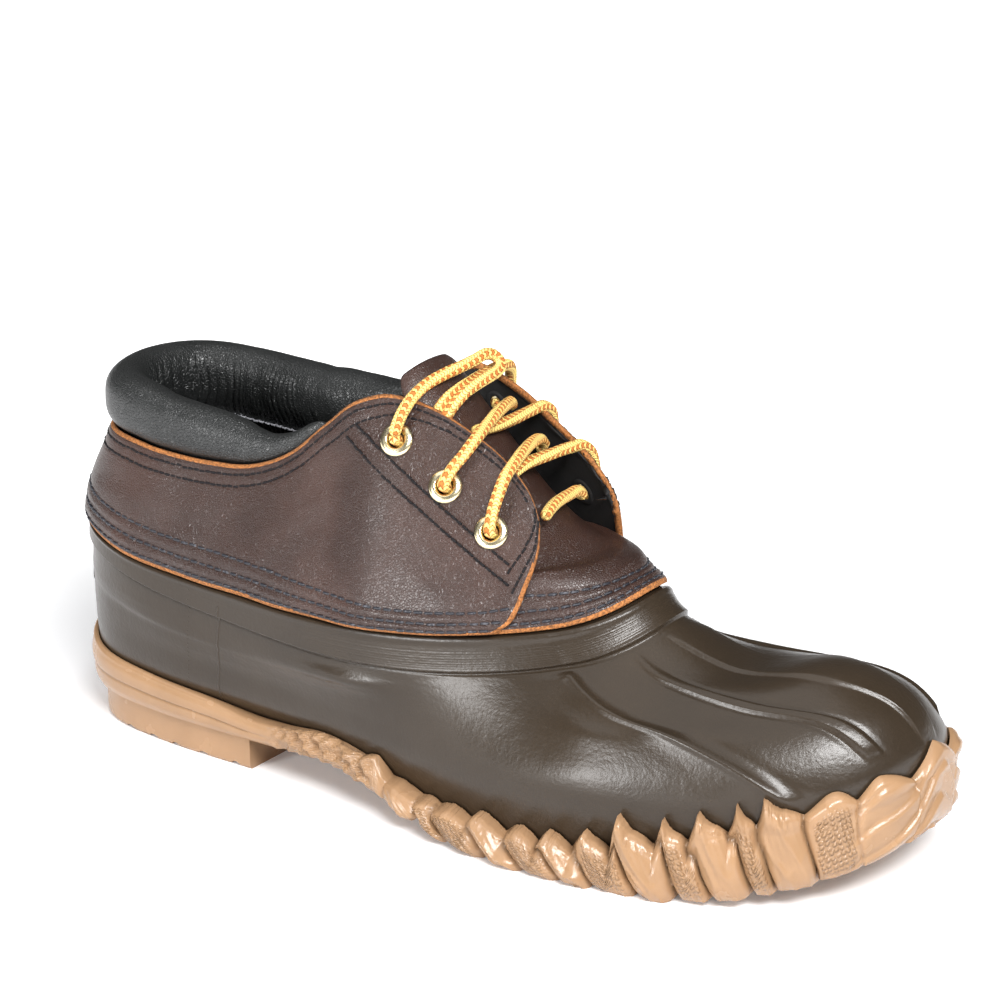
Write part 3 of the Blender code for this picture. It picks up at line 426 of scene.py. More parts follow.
def make_mould_marks(finishes):
    """The dotted line and the thin rib on both sides of the rubber heel."""
    bm = bmesh.new()
    dots = int(np.linalg.norm(np.diff(DOT_LINE, axis=0)) / DOT_PITCH)
    for mirror in (False, True):
        for point in rubber_path(DOT_LINE, mirror, -DOT_SUNK, dots):
            spot = Matrix.Translation(Vector(world(point)))
            bmesh.ops.create_icosphere(bm, subdivisions=1, radius=DOT_SIZE * MM, matrix=spot)
        sweep(bm, rubber_path(THIN_RIB, mirror, -THIN_RIB_SUNK, 50), THIN_RIB_SIZE, 10)
    return piece("mould_marks", bm, [finishes["rubber"]])


def frames_along(points):
    """Two directions across a path at each of its points, which turn as little as they can."""
    ahead = unit(np.gradient(points, axis=0))
    side = np.cross(ahead[0], [0.0, 0.0, 1.0])
    sides = []
    for way in ahead:
        side = side - way * (side @ way)
        side = side / np.linalg.norm(side)
        sides.append(side)
    return np.array(sides), np.cross(ahead, sides)


def sweep(bm, points, radius, around, relief=None, uv_scale=None):
    """Add a round tube along a path to a bmesh, with rounded ends."""
    side, over = frames_along(points)
    reach = lengths_along(points)
    end = np.minimum(reach, reach[-1] - reach)
    width = radius * np.sqrt(np.clip(1 - (1 - np.clip(end / radius, 0, 1)) ** 2, 0.0, 1))

    def place(i, j):
        turn = 2 * math.pi * (i % around)[:, None] / around
        size = width[j] + (relief(i / around, reach[j]) if relief else 0.0) * (width[j] > 0.6 * radius)
        return points[j] + (side[j] * np.cos(turn) + over[j] * np.sin(turn)) * size[:, None]

    tube = grid(around, len(points) - 1, place, uv_scale=uv_scale)
    bmesh.ops.recalc_face_normals(tube, faces=tube.faces)
    add_part(bm, tube)


# Sole: height of its underside along the length, and of its top line round the edge without the lobes
HEEL_HEIGHT = 11.0
SOLE_UNDER = {0.0: HEEL_HEIGHT, 66.0: HEEL_HEIGHT, 84.0: HEEL_HEIGHT, 100.0: 12.0, 116.0: 12.0, 130.0: 9.3,
              142.0: 6.2, 155.0: 2.8, 168.0: 0.5, 176.0: 0.0, 234.0: 0.0, 262.0: 5.5, 284.0: 13.5,
              300.0: 21.0}
SOLE_LINE = {0.0: 30.0, 10.0: 29.0, 22.0: 26.0, 42.0: 23.5, 56.0: 21.2, 65.0: 18.4, 70.0: 19.2, 77.0: 21.6,
             83.0: 18.5, 88.0: 13.0, 94.0: 10.2, 100.0: 9.0, 108.0: 8.2, 114.0: 9.0, 120.0: 11.6,
             127.0: 16.6, 133.0: 20.6, 140.0: 26.0, 150.0: 31.2, 160.0: 35.0, 180.0: 38.0}
# A row for each lobe of the sole's edge: where it starts and where its tip stands, in degrees round the
# edge, how high the tip rises over the line, how rounded it is, and how pebbled and folded the face is
LOBES = (
    (83.0, 85.4, 4.5, 0.6, 0.5, 0.0), (87.2, 89.0, 1.6, 0.7, 0.0, 0.0),
    (92.0, 93.8, 1.4, 0.7, 0.8, 0.0), (94.8, 97.2, 2.4, 0.9, 1.0, 0.0),
    (99.6, 101.6, 4.6, 0.8, 0.0, 0.0), (105.0, 107.2, 4.4, 0.9, 0.7, 0.0),
    (109.8, 111.4, 5.4, 0.9, 0.0, 0.2), (114.6, 116.4, 7.4, 0.5, 1.0, 0.0),
    (120.0, 121.0, 13.0, 0.25, 0.0, 0.2), (126.0, 127.2, 9.0, 0.2, 0.9, 0.0),
    (130.8, 132.2, 9.6, 0.3, 0.0, 0.2), (136.6, 138.0, 8.6, 0.15, 1.0, 0.0),
    (140.8, 142.2, 8.0, 0.2, 0.0, 0.5), (148.6, 154.0, 4.4, 1.0, 1.4, 0.3),
    (158.6, 163.6, 4.8, 0.9, 0.0, 1.0), (172.0, 180.0, 7.5, 0.5, 0.0, 0.8),
)
LOBE_START, LOBE_TIP, LOBE_RISE, LOBE_ROUND, LOBE_PEBBLE, LOBE_FOLD = np.array(LOBES).T
LOBE_END = 188.0
LOBE_SLANT = 3.6
# The edge's section as (share of its height, how far it stands out), and how much of that the heel keeps
WALL = {"tread": (0.0, 1.9), "corner": (0.12, 3.7), "bulge": (0.45, 4.7), "upper": (0.86, 3.9),
        "round": (0.96, 3.3), "lip": (1.0, 2.2)}
WALL_LOW_ROW = 0.8
HEEL_WALL = 0.6
HEEL_WALL_END = (60.0, 90.0)
SEAT = {1.0: 0.35, 0.62: 0.8, 0.3: 0.8, 0.0: 0.5}
TREAD_ACROSS = 16
# Millimetres to a degree round the edge, the edge's height that pebbles are laid out on, and where up the
# heel's edge its groove runs
EDGE_PER_DEGREE = {80.0: 2.5, 112.0: 2.4, 145.0: 1.8, 160.0: 1.4, 180.0: 1.35}
EDGE_HEIGHT, HEEL_GROOVE = 22.0, 0.46


def sole_under(x):
    """Height of the sole's underside at a length."""
    return np.maximum(curve(SOLE_UNDER, x), 0.0)


def edge_scale(turn):
    """Millimetres to a degree at a place round the sole's edge."""
    return np.interp(turn, list(EDGE_PER_DEGREE), list(EDGE_PER_DEGREE.values()))


def lobe_of(turn):
    """Whether a place round the edge is in a lobe, which one, and where that one starts and ends."""
    index = np.searchsorted(LOBE_START, turn, side="right") - 1
    lobe = np.maximum(index, 0)
    return index >= 0, lobe, LOBE_START[lobe], np.append(LOBE_START[1:], LOBE_END)[lobe]


def sole_lip(turn):
    """Height of the sole's top edge at a place round it."""
    inside, lobe, start, end = lobe_of(turn)
    tip, soft = LOBE_TIP[lobe], LOBE_ROUND[lobe]
    climb = np.clip(np.where(turn < tip, (turn - start) / (tip - start), (end - turn) / (end - tip)), 0, 1)
    spike = np.where(turn < tip, climb, np.clip((climb - 0.62) / 0.38, 0, 1) ** 1.4)
    shoulder = np.where(turn < tip, climb, 1 - (1 - climb) ** 3)
    pointed = 0.55 * spike + 0.45 * shoulder * climb ** 0.25
    climb = (1 - soft) * pointed + soft * np.sin(climb * math.pi / 2) ** 1.1
    ragged = 0.35 * np.sin(turn * 9.1) * np.sin(turn * 4.3 + 1.0)
    ragged = ragged * ramp(84, 96, turn) * (1 - ramp(144, 150, turn))
    return curve(SOLE_LINE, turn) + np.where(inside, (LOBE_RISE[lobe] + ragged) * climb, 0.0)


def row_at_height(angle, z):
    """Row where the form reaches a height, never below its lowest ring."""
    low, high = np.zeros_like(z), np.full_like(z, ROW["crown"])
    for _ in range(HEIGHT_ROUNDS):
        middle = (low + high) / 2
        under = ring_point(angle, middle)[..., 2] < z
        low, high = np.where(under, middle, low), np.where(under, high, middle)
    return low


def lobe_relief(turn, climb, height):
    """Relief of the leaf-shaped lobes and the heel's strip, and how shaded, creased and pebbled they are."""
    leafy, toe = ramp(83, 93, turn), ramp(155, 161, turn)
    slant = LOBE_SLANT * ramp(88, 104, turn) * (1 - 0.7 * ramp(146, 158, turn))
    there = turn - slant * (1 - climb) ** 1.2 + 0.45 * np.sin(climb * 5.5 + turn * 0.7) * leafy
    inside, lobe, start, end = lobe_of(there)
    pebbled, folded = LOBE_PEBBLE[lobe], LOBE_FOLD[lobe]
    plain = 1 - np.clip(pebbled, 0, 1)
    share = np.clip((there - start) / (end - start), 0, 1)
    edge = np.minimum(share, 1 - share) * (end - start) * edge_scale(turn)
    crease = np.where(inside, np.exp(-(edge / 0.7) ** 2), 0.0) * (1 - 0.75 * toe) * leafy
    low = 1 - ramp(0.8, 1.0, climb)

    peak = 0.72 - 0.4 * ramp(0.15, 0.95, climb)
    side = np.where(share < peak, share / peak, np.clip((1 - share) / (1 - peak), 0, 1))
    leaf = (2.2 + 0.7 * plain) * np.sin(side * math.pi / 2) ** 0.9 * (1 - 0.5 * ramp(146, 160, turn))
    vein = 0.75 * hump(peak - 0.34 + 0.1 * np.sin(climb * 4.0 + start), 0.06, share) * plain
    vein = vein + 0.45 * hump(peak, 0.07, share)
    twist = np.abs(np.sin(climb * 4.6 - share * 2.4 + start * 0.6))
    turned = (1.2 * (1 - twist) ** 1.5 - 0.5) * folded * np.sin(math.pi * share) ** 0.5
    leaf = (leaf + vein + turned * low) * (0.45 + 0.55 * low)

    layer = climb * 2.6 - (turn - 158.0) / 11.0 + 0.25 * np.sin(turn * 0.31)
    layer = layer - np.floor(layer)
    flap = 1.7 * layer ** 0.8 * (1 - ramp(0.78, 1.0, layer)) * (0.4 + 0.6 * low) - 0.3
    leaf = np.where(inside, leaf * (1 - toe) + flap * toe, 0.0) * leafy
    ragged = 0.3 * np.sin(turn * 13.0 + climb * 9.0) * np.sin(turn * 7.3 - climb * 21.0)
    ragged = ragged * (1 - ramp(144, 150, turn)) * leafy * 0.6

    strip = ramp(66, 71, turn) * (1 - ramp(83, 87, turn))
    rough = strip * (1.2 * ripple(np.stack([turn * 2.4, climb * height, 0 * turn], -1), 5.0, 17) + 0.3)
    heel = 1 - ramp(60, 70, turn)
    ledge = 0.6 * hump(0.72, 0.2, climb) - 0.55 * hump(HEEL_GROOVE, 0.03, climb)
    ledge = heel * (ledge - 0.25 * (1 - ramp(HEEL_GROOVE - 0.02, HEEL_GROOVE + 0.02, climb)))

    # Painted shade: a mark that darkens the gum in the creases between lobes, under their folds and in the
    # heel's groove.
    under = (1 - twist < 0.12) * folded * 0.3 * leafy * (1 - toe)
    shade = np.clip(crease + under + 0.8 * heel * hump(HEEL_GROOVE, 0.02, climb), 0, 1)
    bed = ramp(0.1, 0.22, share) * (1 - ramp(0.76, 0.88, share))
    bed = bed * ramp(0.03, 0.14, climb) * (1 - ramp(0.76, 0.9, climb))
    pebbles = np.clip(np.where(inside, bed * pebbled, 0.0) * leafy, 0, 1) + 0.35 * strip
    return leaf - 1.3 * crease + ragged + rough + ledge, shade, crease, pebbles


def sole_wall(turn, inner_side, climb):
    """Points of the sole's outer wall from its underside to its lip, and how shaded and pebbled they are."""
    angle = np.where(inner_side, 360.0 - turn, turn)
    under = sole_under(ring_point(angle, np.full_like(turn, 0.5))[..., 0])
    height = sole_lip(turn) - under
    z = under + height * climb
    shares, outs = zip(*WALL.values())
    out = smooth(shares, outs, climb, flat=False)
    out = out * (HEEL_WALL + (1 - HEEL_WALL) * ramp(*HEEL_WALL_END, turn))
    relief, shade, crease, pebbles = lobe_relief(turn, climb, height)
    row = np.maximum(row_at_height(angle, z), WALL_LOW_ROW)
    point = form(angle, row, 0.3 + np.maximum(out - 0.5 + relief, 0.5))
    point[..., 2] = z + 2.4 * crease * (1 - ramp(0.0, 0.35, climb))
    return point, shade, pebbles


def sole_seat(turn, inner_side, climb, gap):
    """Points of the sole's inside, round the rubber: climb 0 on its floor and 1 at its lip."""
    angle = np.where(inner_side, 360.0 - turn, turn)
    row = row_at_height(angle, sole_lip(turn)) * climb
    point = form(angle, row, gap + 0.25 * ramp(120.0, 145.0, turn))
    return point - np.array([0.0, 0.0, 0.3]) * (1 - climb)


def tread_groove(points):
    """Depth of the shallow wave-shaped grooves under the forefoot and waist."""
    x, y = points[..., 0], points[..., 1]
    wave = (x + 3.2 * np.sin(y * 0.42)) / 7.4
    return 1.3 * ramp(0.62, 0.8, np.cos(math.pi * wave) ** 2) * ramp(86, 96, x) * (1 - ramp(282, 292, x))


def make_outsole(finishes):
    """The moulded sole: a tray with an edge of overlapping leaf-shaped lobes."""
    turns, climbs = spread((0, 64, 50), (64, 180, 680)), spread((0, 0.9, 33), (0.9, 1.0, 7))
    turn, climb = np.meshgrid(turns, climbs, indexing="ij")
    sides, shades, beds = [], [], []
    for inner_side in (False, True):
        wall, shade, pebbles = sole_wall(turn, inner_side, climb)
        seat = np.stack([sole_seat(turns, inner_side, share, gap) for share, gap in SEAT.items()], 1)
        none = np.zeros(seat.shape[:2])
        sides.append(np.concatenate([wall, seat], 1))
        shades.append(np.concatenate([shade, none], 1))
        beds.append(np.concatenate([pebbles, none], 1))
    outer, inner = sides
    floor = (outer[:, -1:] + inner[:, -1:]) / 2
    across = np.linspace(0, 1, TREAD_ACROSS + 2)[1:-1][None, :, None]
    tread = inner[:, :1] * (1 - across) + outer[:, :1] * across
    edge = np.minimum(across[..., 0], 1 - across[..., 0])
    tread[..., 2] += tread_groove(tread) * ramp(0.02, 0.1, edge)
    loop = np.concatenate([outer, floor, inner[:, ::-1], tread], 1)
    around = loop.shape[1]

    middle, below = np.zeros((len(turns), 1)), np.zeros(tread.shape[:2])
    shade, bed = (np.concatenate([one, middle, two[:, ::-1], below], 1) for one, two in (shades, beds))
    round_mm = np.cumsum(edge_scale(turns) * np.gradient(turns))
    up_mm = np.concatenate([climbs * EDGE_HEIGHT, np.zeros(len(SEAT))])
    up_mm = np.concatenate([up_mm, [0.0], up_mm[::-1], np.zeros(TREAD_ACROSS)])
    # The crease mark carries the painted shade of creases, folds and the heel's groove to the gum's colour.
    bm = grid(len(turns) - 1, around, lambda i, j: loop[i, j % around],
              marks={"crease": lambda i, j: shade[i, j % around], "pebble": lambda i, j: bed[i, j % around],
                     "round": lambda i, j: round_mm[i], "up": lambda i, j: up_mm[j % around]})
    bmesh.ops.recalc_face_normals(bm, faces=bm.faces)
    return sharpen(piece("outsole_lobed", bm, [finishes["gum"]], ["outsole"]), 55)


# Heel: a block under the back of the sole with small slots across its tread
HEEL_BREAST = 63.0
HEEL_ROW = 0.4
HEEL_FLARE = {0.0: -2.2, 25.0: 0.4, 50.0: 1.8, 63.0: 2.4}
HEEL_SIDE = {0.0: 1.5, 0.06: 0.7, 0.16: 0.45, 0.6: 0.3, 1.0: 0.2}
SLOTS = (11.0, 24.0, 35.5, 46.0, 58.0, 72.0)
SLOT_HALF, SLOT_EASE, SLOT_DEPTH = 1.3, 0.35, 1.2


def make_heel(finishes):
    """The heel block, flat under the sole, with slots across its tread."""
    turns = np.linspace(0.0, HEEL_BREAST, 200)
    flare = curve(HEEL_FLARE, turns)
    climbs = np.concatenate([np.linspace(0, 0.2, 7), np.linspace(0.3, 1.0, 6)])
    sides = []
    for angle in (turns, 360.0 - turns):
        side = []
        for climb, inset in zip(climbs, curve(HEEL_SIDE, climbs)):
            point = form(angle, np.full_like(turns, HEEL_ROW), flare - inset)
            point[:, 2] = (HEEL_HEIGHT - 0.3) * climb
            side.append(point)
        sides.append(side)
    across = [sides[1][0] + (sides[0][0] - sides[1][0]) * share for share in np.linspace(0, 1, 9)[1:-1]]
    loop = np.stack(sides[0] + sides[1][::-1] + across, 1)
    x, z = loop[..., 0], loop[..., 2]
    slot = sum(1 - ramp(SLOT_HALF - SLOT_EASE, SLOT_HALF + SLOT_EASE, np.abs(x - spot)) for spot in SLOTS)
    z = np.maximum(z, SLOT_DEPTH * np.clip(slot, 0, 1))
    loop[..., 2] = z + 0.25 * hump(0.0, 1.2, z) * np.sin(x * 0.55) ** 2 * (z > 0.05)
    around = loop.shape[1]
    bm = grid(len(turns) - 1, around, lambda i, j: loop[i, j % around])
    bmesh.ops.holes_fill(bm, edges=bm.edges)
    bmesh.ops.recalc_face_normals(bm, faces=bm.faces)
    return sharpen(piece("heel_block", bm, [finishes["gum"]], ["heel"]), 40)


# Leather: its thickness, its lap over the rubber and over the vamp, and the quarter's edges on the form as
# lengths and heights seen from the side
LEATHER = 2.1
LAP_GAP = 0.8
LAP_ROW = 7.12
LAP_START, LAP_FULL = 98.0, 110.0
VAMP_BACK = 112.0
QUARTER_TOP = {9.5: 100.5, 20.0: 99.5, 40.0: 98.0, 60.0: 97.5, 78.0: 99.5, 92.0: 106.0, 105.0: 117.0,
               115.0: 124.0, 123.0: 126.5, 131.0: 125.5, 150.0: 118.0, 165.0: 109.5, 174.0: 102.0,
               178.5: 95.0}
QUARTER_FRONT = ((175.5, 62.5), (178.0, 70.0), (179.5, 79.0), (180.0, 87.0), (178.5, 95.0))
HEEL_CROWD = 1.3
TOP_SPOTS = np.array([locate(x, z) for x, z in QUARTER_TOP.items()])
TOP_SPOTS[0, 0] = 0.0
FRONT_SPOTS = np.array([locate(x, z) for x, z in QUARTER_FRONT])
FRONT_SPOTS[0, 1] = LAP_ROW
# Soft creases of the quarter as seen from the side: middle (x, z), half length, half width, turn in degrees
# and height, a trough where it is below zero
QUARTER_CREASES = (
    ((70.0, 80.0), 26.0, 4.2, -4.0, -0.3), ((104.0, 92.0), 20.0, 4.0, 38.0, 0.3),
    ((40.0, 84.0), 22.0, 3.6, 3.0, 0.25), ((128.0, 82.0), 24.0, 4.2, -34.0, -0.22),
    ((16.0, 86.0), 14.0, 3.2, 10.0, -0.25), ((150.0, 80.0), 15.0, 3.2, -30.0, 0.2),
)
# Rows of stitches by their distance from the quarter's bottom edge and from its top edge, and its cut edge
STITCH_ROWS, TOP_ROWS = (2.4, 7.0, 12.0), (7.2, 3.5)
CUT_WIDTH, CUT_DROP = 1.5, 1.25


def quarter_spot(along, climb):
    """(angle, row) in the quarter's outer half: along from the heel's back to the front edge, climb up."""
    along, climb = np.asarray(along, float), np.asarray(climb, float)
    lengths = np.array(list(QUARTER_TOP))
    share = (lengths - lengths[0]) / (lengths[-1] - lengths[0])
    low_share = (1 - np.cos(np.radians(FRONT_SPOTS[0, 0]))) / 2

    def top(s):
        return curve_through(share, TOP_SPOTS, s)

    def front(t):
        return curve_through(np.linspace(0, 1, len(FRONT_SPOTS)), FRONT_SPOTS, t)

    def low(s):
        return np.stack([np.degrees(np.arccos(1 - 2 * low_share * s)), np.full_like(s, LAP_ROW)], -1)

    def back(t):
        return np.stack([np.zeros_like(t), LAP_ROW + (TOP_SPOTS[0, 1] - LAP_ROW) * t], -1)

    s, t = along[..., None], climb[..., None]
    ruled = (1 - t) * low(along) + t * top(along) + (1 - s) * back(climb) + s * front(climb)
    ends = [end(np.full_like(along, at)) for end, at in ((low, 0.0), (low, 1.0), (top, 0.0), (top, 1.0))]
    corners = (1 - s) * (1 - t) * ends[0] + s * (1 - t) * ends[1] + (1 - s) * t * ends[2] + s * t * ends[3]
    return ruled - corners


def quarter_lift(angle):
    """How far the quarter's inside stands off the form: it laps over the vamp towards the front."""
    return LAP_GAP + (LEATHER + LAP_GAP) * ramp(LAP_START, LAP_FULL, fold(angle))


def quarter_place(along, climb):
    """(angle, row) of a place on the quarter, on its inner side where along is negative."""
    angle, row = np.moveaxis(quarter_spot(np.abs(along), climb), -1, 0)
    return np.where(along >= 0, angle, 360.0 - angle), row


def quarter_point(along, climb, out=LEATHER):
    """A point of the quarter; out is the height over its inside."""
    angle, row = quarter_place(along, climb)
    return form(angle, row, quarter_lift(angle) + out)


def crease_field(points, creases):
    """Soft troughs and ridges over points seen from the side."""
    height = np.zeros(points.shape[:-1])
    for (x, z), half, width, turn, rise in creases:
        turn = math.radians(turn)
        ahead = (points[..., 0] - x) * math.cos(turn) + (points[..., 2] - z) * math.sin(turn)
        aside = (points[..., 2] - z) * math.cos(turn) - (points[..., 0] - x) * math.sin(turn)
        bend = aside + 0.012 * ahead * ahead / max(half / 18.0, 1.0)
        height = height + rise * np.exp(-(ahead / half) ** 2 - (bend / width) ** 2)
    return height


def quarter_edges(along, climb):
    """Places on the quarter, and their distances from its bottom edge, its top edge and its front edge."""
    here = quarter_point(along, climb)
    front = np.where(along < 0, -1.0, 1.0)
    ends = ((along, np.zeros_like(climb)), (along, np.ones_like(climb)), (front, climb))
    return [here] + [np.linalg.norm(here - quarter_point(*end), axis=-1) for end in ends]


def cut_edge(distance):
    """Drop of leather's face at a cut edge: a slanting cut with a little roundness above it."""
    return CUT_DROP * np.clip(1 - distance / CUT_WIDTH, 0, 1) + 0.22 * hump(CUT_WIDTH, 0.6, distance)


def quarter_face(along, climb):
    """A point of the quarter's outer face, with creases, puckers at the stitches and slanting cut edges."""
    flat, up, down, ahead = quarter_edges(along, climb)
    edge = np.minimum(np.minimum(up, down), ahead)
    pucker = sum(hump(row, 0.8, up) for row in STITCH_ROWS) * (0.26 + 0.1 * np.sin(flat[..., 0] * 1.85))
    pucker = pucker + 0.22 * sum(hump(row, 0.6, down) for row in TOP_ROWS)
    swell = 0.32 * (hump(4.7, 1.3, up) + hump(9.5, 1.5, up)) + 0.22 * ripple(flat, 34.0, 11)
    relief = crease_field(flat, QUARTER_CREASES) * ramp(12, 18, up) * ramp(6, 12, down)
    relief = np.maximum(relief + swell - pucker, -0.5) - cut_edge(edge)
    wave = 0.35 * np.sin(flat[..., 0] * 0.21) * hump(0.0, 5.0, up)
    return quarter_point(along, climb, LEATHER + relief + wave * ramp(0.0, 0.3, np.abs(along)))


def leather_piece(name, bm, node, sizes, finishes):
    """Finish a piece of leather: a raw edge along its slanting cut, and a wall with a lining."""
    layer = bm.verts.layers.float["edge"]
    for face in bm.faces:
        if sum(vert[layer] for vert in face.verts) / len(face.verts) < CUT_WIDTH:
            face.material_index = 2
    materials = [finishes[part] for part in ("leather", "lining", "edge")]
    return thicken(piece(name, bm, materials, [node]), sizes.leather / MM, inside=1, rim=2)


def make_quarter(sizes, finishes):
    """The leather quarter that wraps round the heel, with holes for the eyelets."""
    half = np.concatenate([np.linspace(0, 0.99, 190) ** HEEL_CROWD, [0.991, 0.994, 0.997, 1.0]])
    along = np.concatenate([-half[:0:-1], half])
    climb = np.concatenate([[0.0, 0.01, 0.02], np.linspace(0.03, 0.97, 60), [0.98, 0.99, 1.0]])
    bm = grid(len(along) - 1, len(climb) - 1, lambda i, j: quarter_face(along[i], climb[j]),
              marks={"edge": lambda i, j: np.min(quarter_edges(along[i], climb[j])[1:], axis=0)})
    centres = [Vector(world(eyelet_frame(*place)[0])) for place in EYELET_PLACES]
    near = [face for face in bm.faces
            if min((face.calc_center_median() - centre).length for centre in centres) < EYELET_HOLE * MM]
    bmesh.ops.delete(bm, geom=near, context="FACES")
    return leather_piece("quarter_leather", bm, "quarter", sizes, finishes)


# Vamp and tongue, one piece of leather. A row for each section up to the tongue's top: its share of the
# way, the length and height of its middle, its half width, and how far its edges sweep back and drop
TONGUE = (
    (0.36, 197.0, 82.3, 35.2, 52.0, 7.0),
    (0.45, 189.0, 84.0, 32.0, 42.0, 5.0),
    (0.56, 179.0, 89.0, 27.2, 30.0, 4.0),
    (0.68, 168.0, 97.5, 24.5, 19.0, 6.0),
    (0.80, 156.0, 108.5, 21.5, 10.0, 8.0),
    (0.90, 145.5, 120.5, 18.5, 6.0, 8.0),
    (1.00, 131.0, 138.2, 15.5, 8.0, 8.0),
)
TONGUE_LEAN = 4.0
VAMP_SHARE = 0.30
TONGUE_FREE = 0.52
VAMP_OVERRUN = 1.6
VAMP_SPRING = 0.6
VAMP_ROWS = (3.4, 7.6, 12.0)
VAMP_HEIGHT, TONGUE_LENGTH, TONGUE_HALF = 13.0, 160.0, 30.0


def vamp_point(share, across, out=0.0):
    """A point `out` outside the vamp: share runs up the foot, across from -1 at the outer side to 1."""
    def face(share, across):
        angle = 180.0 + across * (180.0 - VAMP_BACK)
        climb = np.clip(share / VAMP_SHARE, 0.0, VAMP_OVERRUN)
        row = LAP_ROW + (ROW["rim"] - LAP_ROW) * climb
        lap = form(angle, row, LAP_GAP + LEATHER + VAMP_SPRING * (1 - across ** 2) ** 2)
        knots, *sizes = zip(*TONGUE)
        at = np.maximum(share, knots[0])
        x, z, half, sweep_back, drop = (smooth(knots, size, at, flat=False) for size in sizes)
        turn = across * math.pi / 2
        lean = 1 - np.cos(turn)
        x = x - sweep_back * lean
        tongue = np.stack([x, middle_line(x) - TONGUE_LEAN + half * np.sin(turn), z - drop * lean], -1)
        blend = ramp(VAMP_SHARE, TONGUE_FREE, share)[..., None]
        return lap * (1 - blend) + tongue * blend

    share, across = np.broadcast_arrays(np.asarray(share, float), np.asarray(across, float))
    point = face(share, across)
    up = face(share + NUDGE_SHARE, across) - face(share - NUDGE_SHARE, across)
    aside = face(share, across + NUDGE_SHARE) - face(share, across - NUDGE_SHARE)
    return point + unit(np.cross(aside, up)) * np.asarray(out, float)[..., None]


def vamp_edge(share, across):
    """About how far a place on the vamp or tongue is from its nearest edge."""
    ends = np.minimum(share / VAMP_SHARE * VAMP_HEIGHT, (1 - share) * TONGUE_LENGTH)
    return np.minimum(ends, (1 - np.abs(across)) * TONGUE_HALF)


def vamp_face(share, across):
    """A point of the vamp's and tongue's outer face, with creases, puckers and slanting cut edges."""
    height = share / VAMP_SHARE * VAMP_HEIGHT
    low = 1 - ramp(VAMP_HEIGHT, VAMP_HEIGHT + 3.0, height)
    pucker = sum(hump(row, 0.8, height) for row in VAMP_ROWS) * (0.26 + 0.1 * np.sin(across * 62.0)) * low
    swell = 0.35 * (hump(5.5, 1.2, height) + hump(9.8, 1.3, height)) * low
    bend = 0.5 * hump(0.42, 0.02, share) - 0.5 * hump(0.47, 0.022, share) + 0.35 * hump(0.53, 0.03, share)
    slack = ripple(np.stack([share * TONGUE_LENGTH, across * 34, 0 * share], -1), 30, 7)
    bend = (bend * (1 - 0.5 * across ** 2) + 0.3 * slack) * ramp(14.0, 20.0, height)
    relief = np.clip(swell + bend - pucker, -0.5, 0.6) - cut_edge(vamp_edge(share, across))
    rounded = 0.055 * ramp(0.55, 1.0, np.abs(across)) ** 2 * ramp(0.9, 1.0, share)
    return vamp_point(share - rounded, across, relief)


def make_vamp_tongue(sizes, finishes):
    """The vamp and tongue, which go under the quarter's facings."""
    across = np.linspace(-1, 1, 181)
    share = np.append(spread((0, VAMP_SHARE, 50), (VAMP_SHARE, 0.99, 108)), [0.9935, 0.997, 1.0])
    bm = grid(len(across) - 1, len(share) - 1, lambda i, j: vamp_face(share[j], across[i]),
              marks={"edge": lambda i, j: (vamp_edge(share[j], across[i])
                                           + CUT_WIDTH * ramp(0.4, 0.5, share[j]))})
    return leather_piece("vamp_tongue_leather", bm, "vamp_tongue", sizes, finishes)


# Insole: a sheet on the sole's floor, inside the rubber's wall
INSOLE_THICKNESS, INSOLE_GAP, RUBBER_WALL = 3.6, 2.8, 2.6


def make_insole(finishes):
    """The insole, bedded on the sole's floor, with a rounded edge."""
    turns = np.linspace(0.0, 180.0, 121)
    edges = []
    for angle in (turns, 360.0 - turns):
        edge = form(angle, np.zeros_like(turns), np.full_like(turns, -(RUBBER_WALL + INSOLE_GAP)))
        edge[:, 2] = ring_point(angle, 0.0)[:, 2] + INSOLE_THICKNESS + 0.3
        edges.append(edge)
    across = np.linspace(0.0, 1.0, 41)

    def place(i, j):
        point = edges[0][i] + (edges[1][i] - edges[0][i]) * across[j][:, None]
        rise = 0.5 * np.sin(math.pi * across[j]) - 0.8 * hump(0, 0.02, np.minimum(across[j], 1 - across[j]))
        return point + np.stack([0 * rise, 0 * rise, rise], -1)

    bm = grid(len(turns) - 1, len(across) - 1, place)
    bmesh.ops.recalc_face_normals(bm, faces=bm.faces)
    if sum(face.normal.z for face in bm.faces) < 0:
        bmesh.ops.reverse_faces(bm, faces=bm.faces)
    cloth = piece("insole_cloth", bm, [finishes["insole"]], ["insole"])
    return thicken(cloth, INSOLE_THICKNESS - 1.0)


# Collar: a padded roll on the quarter's top edge. Its section is given out from the leather's outer face
# and up from the leather's edge, once round.
COLLAR_SECTION = ((-2.8, -15.0), (-2.8, -7.0), (-2.8, 0.6), (-0.4, 1.2), (1.8, 3.4), (3.6, 8.4), (4.0, 14.0),
                  (1.0, 18.6), (-4.2, 19.8), (-9.2, 16.8), (-11.8, 9.0), (-10.8, 0.0), (-7.6, -9.0),
                  (-5.0, -15.0))
COLLAR_END, COLLAR_TIP = (14 / 22) ** HEEL_CROWD, 0.03
COLLAR_INSIDE = -2.8
# Share of the roll's size left at places along the quarter's edge, on its outer and on its inner side
COLLAR_OUTER = {0.0: 1.0, 0.1: 0.96, 0.2: 0.89, 0.3: 0.83, 0.38: 0.69, 0.46: 0.4, 0.56: 0.2}
COLLAR_INNER = {0.0: 1.0, 0.36: 1.0, 0.42: 0.94, 0.5: 0.62, 0.56: 0.2}
COLLAR_PAD = 0.55
COLLAR_AROUND = 60


def collar_scale(along):
    """Share of the roll's size, down to its front ends."""
    return np.where(along > 0, curve(COLLAR_OUTER, np.abs(along)), curve(COLLAR_INNER, np.abs(along)))


